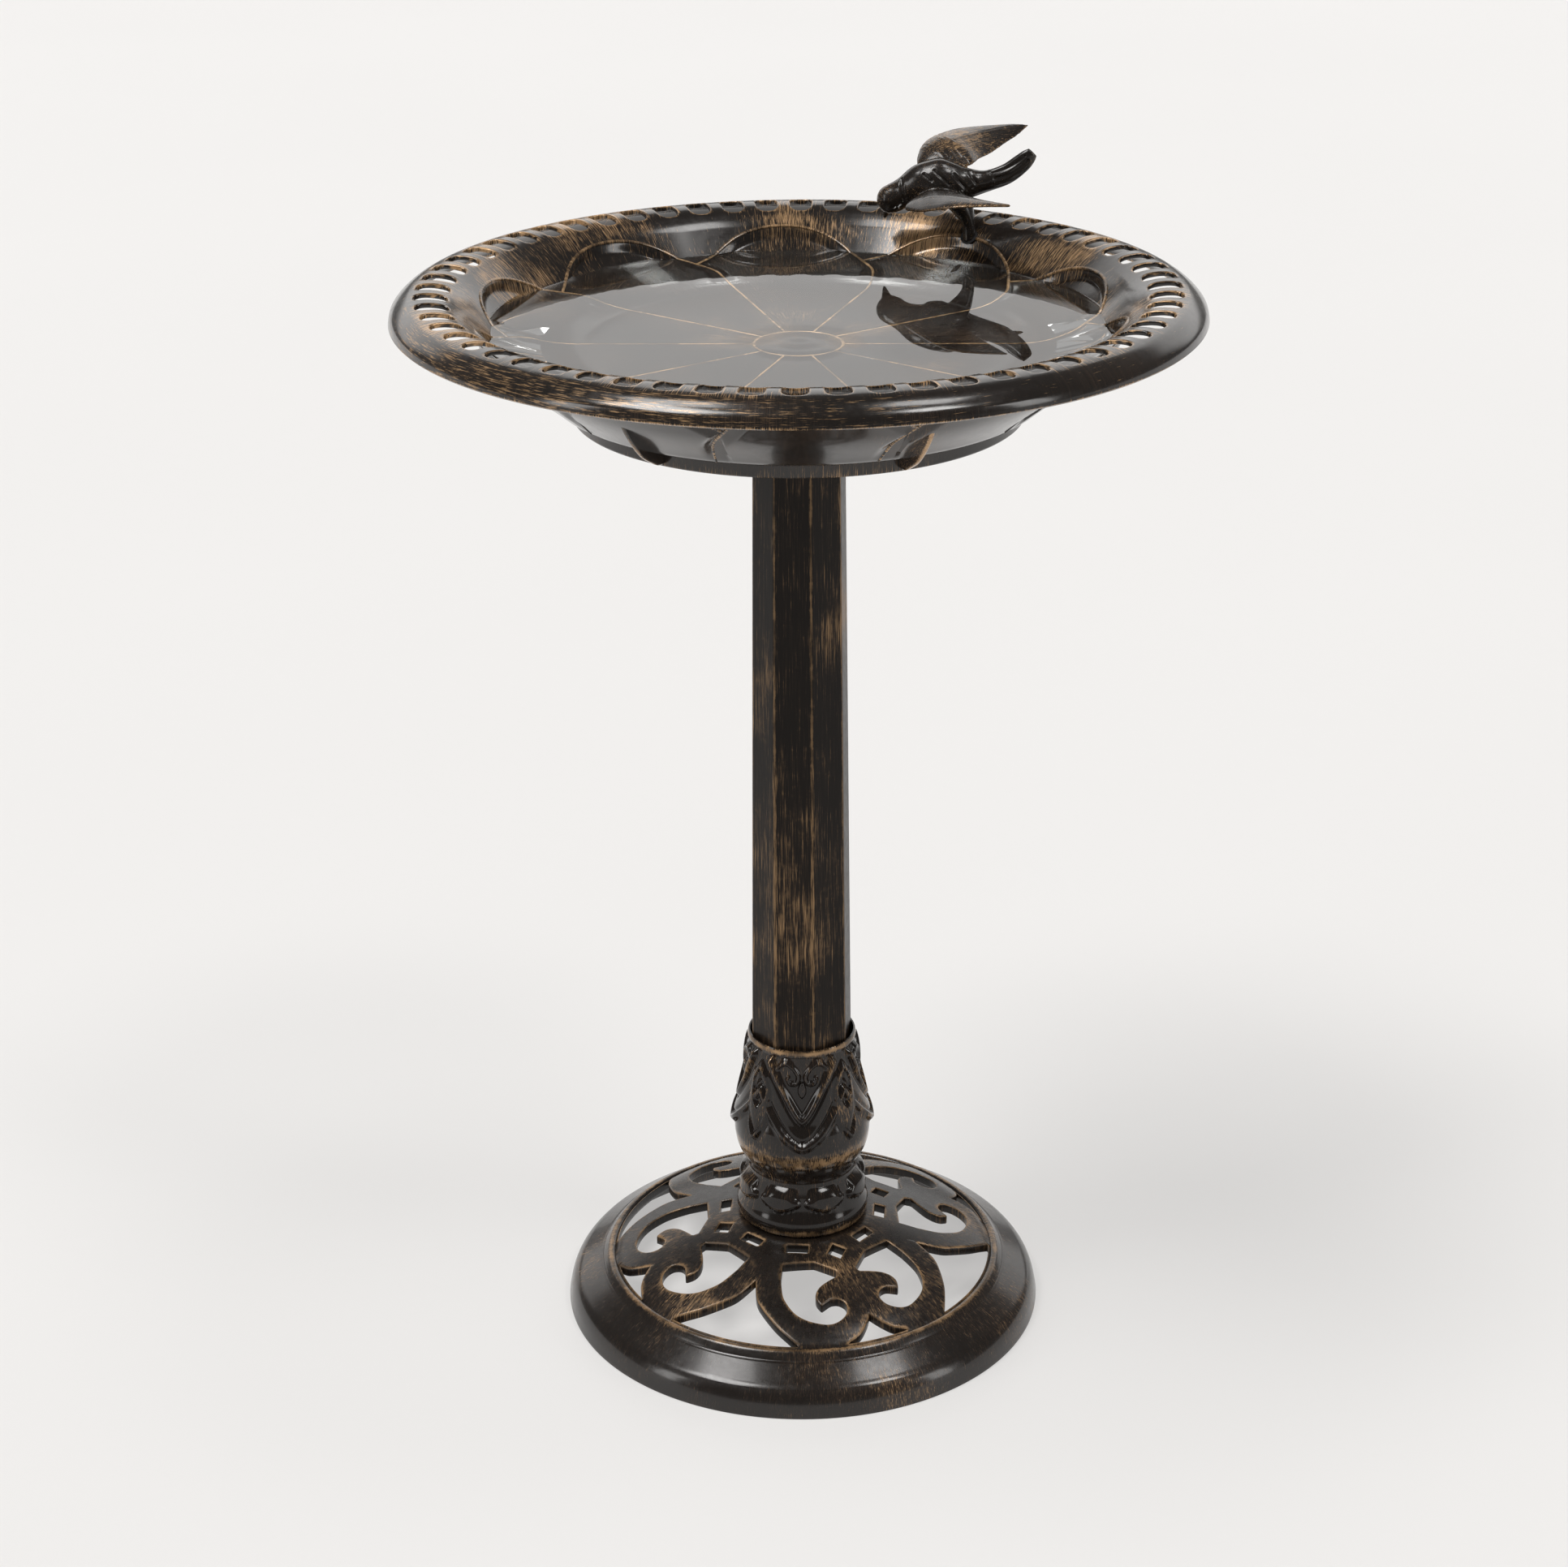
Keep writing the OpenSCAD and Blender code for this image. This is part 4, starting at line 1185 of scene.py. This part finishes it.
def antique(name, streak, patch, edge, rough, gloss, coat, strength, streak_scale=1.3, skin=0.10, extra=None):
    """Painted antique bronze: near-black brown with dry-brushed bronze along the grain and on the edges.

    streak and patch say how much of the surface the brushed lines and the worn patches cover, 0 to 1, and
    edge how strong the bronze is on the edges. Where wear is negative, the brush hardly reached."""
    material, tree, shader = new_material(name, Coat_Weight=coat, Coat_Roughness=0.08)
    shader.inputs["Specular IOR Level"].default_value = gloss
    grain = attribute(tree, "grain", "Vector")
    wear = attribute(tree, "wear", "Fac")
    place = object_place(tree)
    brushed = noise(tree, grain, streak_scale, 3.0, 0.65)
    bristle = noise(tree, grain, streak_scale * 2.7, 2.0, 0.5)
    broad = noise(tree, place, 17.0, 2.0, 0.5)
    mottle = noise(tree, place, 190.0, 3.0, 0.6)
    lines = plus(tree, times(tree, brushed, 0.6), times(tree, bristle, 0.4))
    drift = times(tree, maths(tree, "SUBTRACT", broad, 0.5), 0.55)
    amount = plus(tree, lines, drift)
    reached = times(tree, maths(tree, "MINIMUM", wear, 0.4), 0.16)
    painted = plus(tree, amount, reached)
    brush_mask = remap(tree, painted, 0.66 - 0.16 * streak, 0.78 - 0.16 * streak)
    worn_through = plus(tree, painted, times(tree, mottle, 0.4))
    patch_mask = times(tree, remap(tree, worn_through, 0.80 - 0.12 * patch, 1.02 - 0.12 * patch), 0.45)
    broken = remap(tree, plus(tree, times(tree, bristle, 0.6), times(tree, mottle, 0.5)), 0.42, 0.66)
    edge_mask = times(tree, remap(tree, plus(tree, wear, times(tree, broken, 0.45)), 0.62, 1.15), edge)
    passes = remap(tree, noise(tree, place, 42.0, 2.0, 0.5), 0.38, 0.60, 0.25, 1.0)
    edge_mask = times(tree, edge_mask, passes)
    mask = maths(tree, "MAXIMUM", maths(tree, "MAXIMUM", brush_mask, patch_mask), edge_mask)
    mask = times(tree, mask, strength)
    if extra is not None:
        mask = maths(tree, "MAXIMUM", mask, extra(tree, place, mottle), clamp=True)
    dark = blend_colour(tree, remap(tree, amount, 0.44, 0.72), NEAR_BLACK, BROWN)
    link(tree, blend_colour(tree, mask, dark, BRONZE), shader.inputs["Base Color"])
    link(tree, times(tree, mask, 0.45), shader.inputs["Metallic"])
    rough_noise = remap(tree, mottle, 0.3, 0.7, rough - 0.03, rough + 0.04)
    link(tree, plus(tree, rough_noise, times(tree, mask, 0.12)), shader.inputs["Roughness"])
    height = plus(tree, times(tree, lines, 0.6), times(tree, mottle, 0.5))
    rough_skin(tree, shader, height, skin, 0.0004)
    return material


def rim_smears_and_highlight(tree, place, mottle):
    """Bronze rubbed round the lip of the bowl, plus a painted highlight: the lip gets more bronze towards the
    front left, where the upper-left soft box shines on it.
    """
    parts = tree.nodes.new("ShaderNodeSeparateXYZ")
    tree.links.new(place, parts.inputs[0])
    x, y, z = parts.outputs
    r = maths(tree, "SQRT", plus(tree, times(tree, x, x), times(tree, y, y)))
    across, ahead = maths(tree, "DIVIDE", x, r), maths(tree, "DIVIDE", y, r)
    around = tree.nodes.new("ShaderNodeCombineXYZ")
    link(tree, times(tree, across, 20.0), around.inputs[0])
    link(tree, times(tree, ahead, 20.0), around.inputs[1])
    link(tree, times(tree, maths(tree, "SUBTRACT", r, z), 1000.0), around.inputs[2])
    smear = noise(tree, around.outputs[0], 1.0, 3.0, 0.6)
    # painted highlight: the lip is made lighter towards the front left, the side that the upper-left soft box
    # lights
    toward_highlight = plus(tree, times(tree, across, -0.62), times(tree, ahead, -0.78))
    level = plus(tree, smear, times(tree, remap(tree, toward_highlight, 0.45, 1.0), 0.13))
    level = plus(tree, level, times(tree, mottle, 0.2))
    outside = remap(tree, r, 0.240, 0.2425)
    return times(tree, times(tree, remap(tree, level, 0.74, 0.90), outside), 0.62)


def zinc():
    material, tree, shader = new_material("zinc_steel", Metallic=1.0)
    place = object_place(tree)
    spangle = noise(tree, place, 420.0, 3.0, 0.6)
    link(tree, blend_colour(tree, remap(tree, spangle, 0.35, 0.65), (0.50, 0.50, 0.52), (0.66, 0.65, 0.62)),
         shader.inputs["Base Color"])
    link(tree, remap(tree, spangle, 0.3, 0.7, 0.28, 0.42), shader.inputs["Roughness"])
    rough_skin(tree, shader, spangle, 0.1, 0.0002)
    return material


def rubber():
    material, tree, shader = new_material("black_rubber")
    place = object_place(tree)
    grain = noise(tree, place, 900.0, 3.0, 0.6)
    colour = blend_colour(tree, grain, (0.012, 0.012, 0.012), (0.03, 0.03, 0.03))
    link(tree, colour, shader.inputs["Base Color"])
    link(tree, remap(tree, grain, 0.3, 0.7, 0.55, 0.75), shader.inputs["Roughness"])
    rough_skin(tree, shader, grain, 0.15, 0.0002)
    return material


def clear_water():
    """Still water. Shadow rays pass through it, so that the bowl under it is lit."""
    material, tree, shader = new_material("clear_water", Roughness=0.0, IOR=1.33, Transmission_Weight=1.0)
    place = object_place(tree)
    depth = noise(tree, place, 9.0, 1.0, 0.4)
    link(tree, blend_colour(tree, depth, (0.93, 0.96, 0.95), (0.97, 0.98, 0.97)), shader.inputs["Base Color"])
    clear = tree.nodes.new("ShaderNodeBsdfTransparent")
    clear.inputs["Color"].default_value = (0.94, 0.95, 0.95, 1)
    either = tree.nodes.new("ShaderNodeMixShader")
    tree.links.new(tree.nodes.new("ShaderNodeLightPath").outputs["Is Shadow Ray"], either.inputs[0])
    tree.links.new(shader.outputs["BSDF"], either.inputs[1])
    tree.links.new(clear.outputs["BSDF"], either.inputs[2])
    out = next(n for n in tree.nodes if n.type == "OUTPUT_MATERIAL")
    tree.links.new(either.outputs["Shader"], out.inputs["Surface"])
    return material


# ---- floor, lights and camera

def make_floor():
    material, tree, shader = new_material("pale_floor", Roughness=0.6, Emission_Strength=0.46)
    shader.inputs["Emission Color"].default_value = (1.0, 0.985, 0.97, 1)
    place = object_place(tree)
    tone = noise(tree, place, 0.8, 2.0, 0.5)
    colour = blend_colour(tree, tone, (0.32, 0.317, 0.314), (0.35, 0.347, 0.343))
    link(tree, colour, shader.inputs["Base Color"])
    bpy.ops.mesh.primitive_plane_add(size=60)
    floor = bpy.context.object
    floor.name = "floor"
    floor.data.materials.append(material)


WORLD_GLOW = 0.15
SOFT_BOXES = (                  # direction, half width, half height and strength
    ((-0.42, -0.24, 0.87), 0.19, 0.15, 14.5),
    ((-0.31, 0.04, 0.957), 0.12, 0.12, 9.0),
    ((0.44, -0.33, 0.84), 0.10, 0.10, 15.0),
    ((0.32, 0.01, 0.949), 0.10, 0.10, 9.0),
    ((-0.87, -0.39, 0.30), 0.10, 0.26, 5.0),
    ((0.87, -0.39, 0.30), 0.10, 0.26, 5.0),
    ((0.0, 0.92, 0.38), 1.0, 0.24, 1.14))


def dot_product(tree, ray, axis):
    node = tree.nodes.new("ShaderNodeVectorMath")
    node.operation = "DOT_PRODUCT"
    link(tree, ray, node.inputs[0])
    node.inputs[1].default_value = axis
    return node.outputs["Value"]


def soft_box(tree, ray, direction, half_width, half_height, strength, softness=0.25):
    """A rectangular light far away: its strength where a ray's direction falls inside it, 0 elsewhere."""
    ahead = Vector(direction).normalized()
    across = ahead.cross(Vector((0, 0, 1))).normalized()
    depth = maths(tree, "MAXIMUM", dot_product(tree, ray, ahead), 0.001)
    inside = strength
    for axis, half in ((across, half_width), (across.cross(ahead), half_height)):
        offset = maths(tree, "ABSOLUTE", maths(tree, "DIVIDE", dot_product(tree, ray, axis), depth))
        inside = times(tree, remap(tree, offset, half * (1 + softness), half * (1 - softness)), inside)
    return inside


def make_lights():
    """The lights are parts of the world's sky, so that they light the floor evenly."""
    world = bpy.data.worlds.new("studio")
    world.use_nodes = True
    tree = world.node_tree
    ray = tree.nodes.new("ShaderNodeTexCoord").outputs["Generated"]
    light = WORLD_GLOW
    for direction, half_width, half_height, strength in SOFT_BOXES:
        light = plus(tree, soft_box(tree, ray, direction, half_width, half_height, strength), light)
    background = tree.nodes["Background"]
    background.inputs["Color"].default_value = (1.0, 0.985, 0.97, 1)
    link(tree, light, background.inputs["Strength"])
    bpy.context.scene.world = world
    bpy.context.scene.view_settings.view_transform = "Standard"


CAMERA_PITCH, CAMERA_YAW, CAMERA_ROLL = 23.364, -0.329, -0.392     # degrees
CAMERA_PLACE = (0.0, -1.9156, 1.2163)                              # metres
CAMERA_LENS = 72.267                                               # millimetres, on a 36 mm sensor


def make_camera():
    pitch, yaw, roll = (math.radians(a) for a in (CAMERA_PITCH, CAMERA_YAW, CAMERA_ROLL))
    ahead = Vector((math.sin(yaw) * math.cos(pitch), math.cos(yaw) * math.cos(pitch), -math.sin(pitch)))
    right = Vector((math.cos(yaw), -math.sin(yaw), 0))
    up = right.cross(ahead)
    turned_right = right * math.cos(roll) + up * math.sin(roll)
    turned_up = up * math.cos(roll) - right * math.sin(roll)
    camera = new_object("camera", bpy.data.cameras.new("camera"))
    camera.data.sensor_width = 36
    camera.data.lens = CAMERA_LENS
    turn = Matrix((turned_right, turned_up, -ahead)).transposed()
    camera.matrix_world = Matrix.Translation(CAMERA_PLACE) @ turn.to_4x4()
    bpy.context.scene.camera = camera


basin_paint = antique("antique_basin", streak=0.66, patch=0.3, edge=0.9, rough=0.18, gloss=0.4, coat=0.35,
                      strength=0.95, streak_scale=1.5, skin=0.02, extra=rim_smears_and_highlight)
column_paint = antique("antique_column", streak=0.50, patch=0.5, edge=0.7, rough=0.34, gloss=0.12, coat=0.0,
                       strength=0.5, streak_scale=1.1)
collar_paint = antique("antique_collar", streak=0.35, patch=0.2, edge=0.9, rough=0.10, gloss=0.3, coat=0.15,
                       strength=0.85)
base_paint = antique("antique_base", streak=0.14, patch=0.3, edge=0.85, rough=0.28, gloss=0.35, coat=0.1,
                     strength=0.65)
flange_paint = antique("antique_flange", streak=0.12, patch=0.1, edge=0.9, rough=0.22, gloss=0.4, coat=0.25,
                       strength=0.6)
bird_paint = antique("antique_bird", streak=0.6, patch=0.05, edge=0.9, rough=0.24, gloss=0.4, coat=0.2,
                     strength=0.8, streak_scale=1.3)
steel = zinc()
black_rubber = rubber()

make_basin(basin_paint)
make_water(clear_water())
make_column(column_paint)
make_collar(collar_paint)
make_openwork(base_paint)
make_flange(flange_paint)
make_top_cap(column_paint)
make_rod(steel)
make_fasteners(steel, black_rubber)
make_bird(bird_paint)

for node, paint in (("bird_screw", steel), ("bird_washer", steel), ("bird_seal", black_rubber)):
    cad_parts[node].data.materials.clear()
    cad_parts[node].data.materials.append(paint)

make_floor()
make_lights()
make_camera()
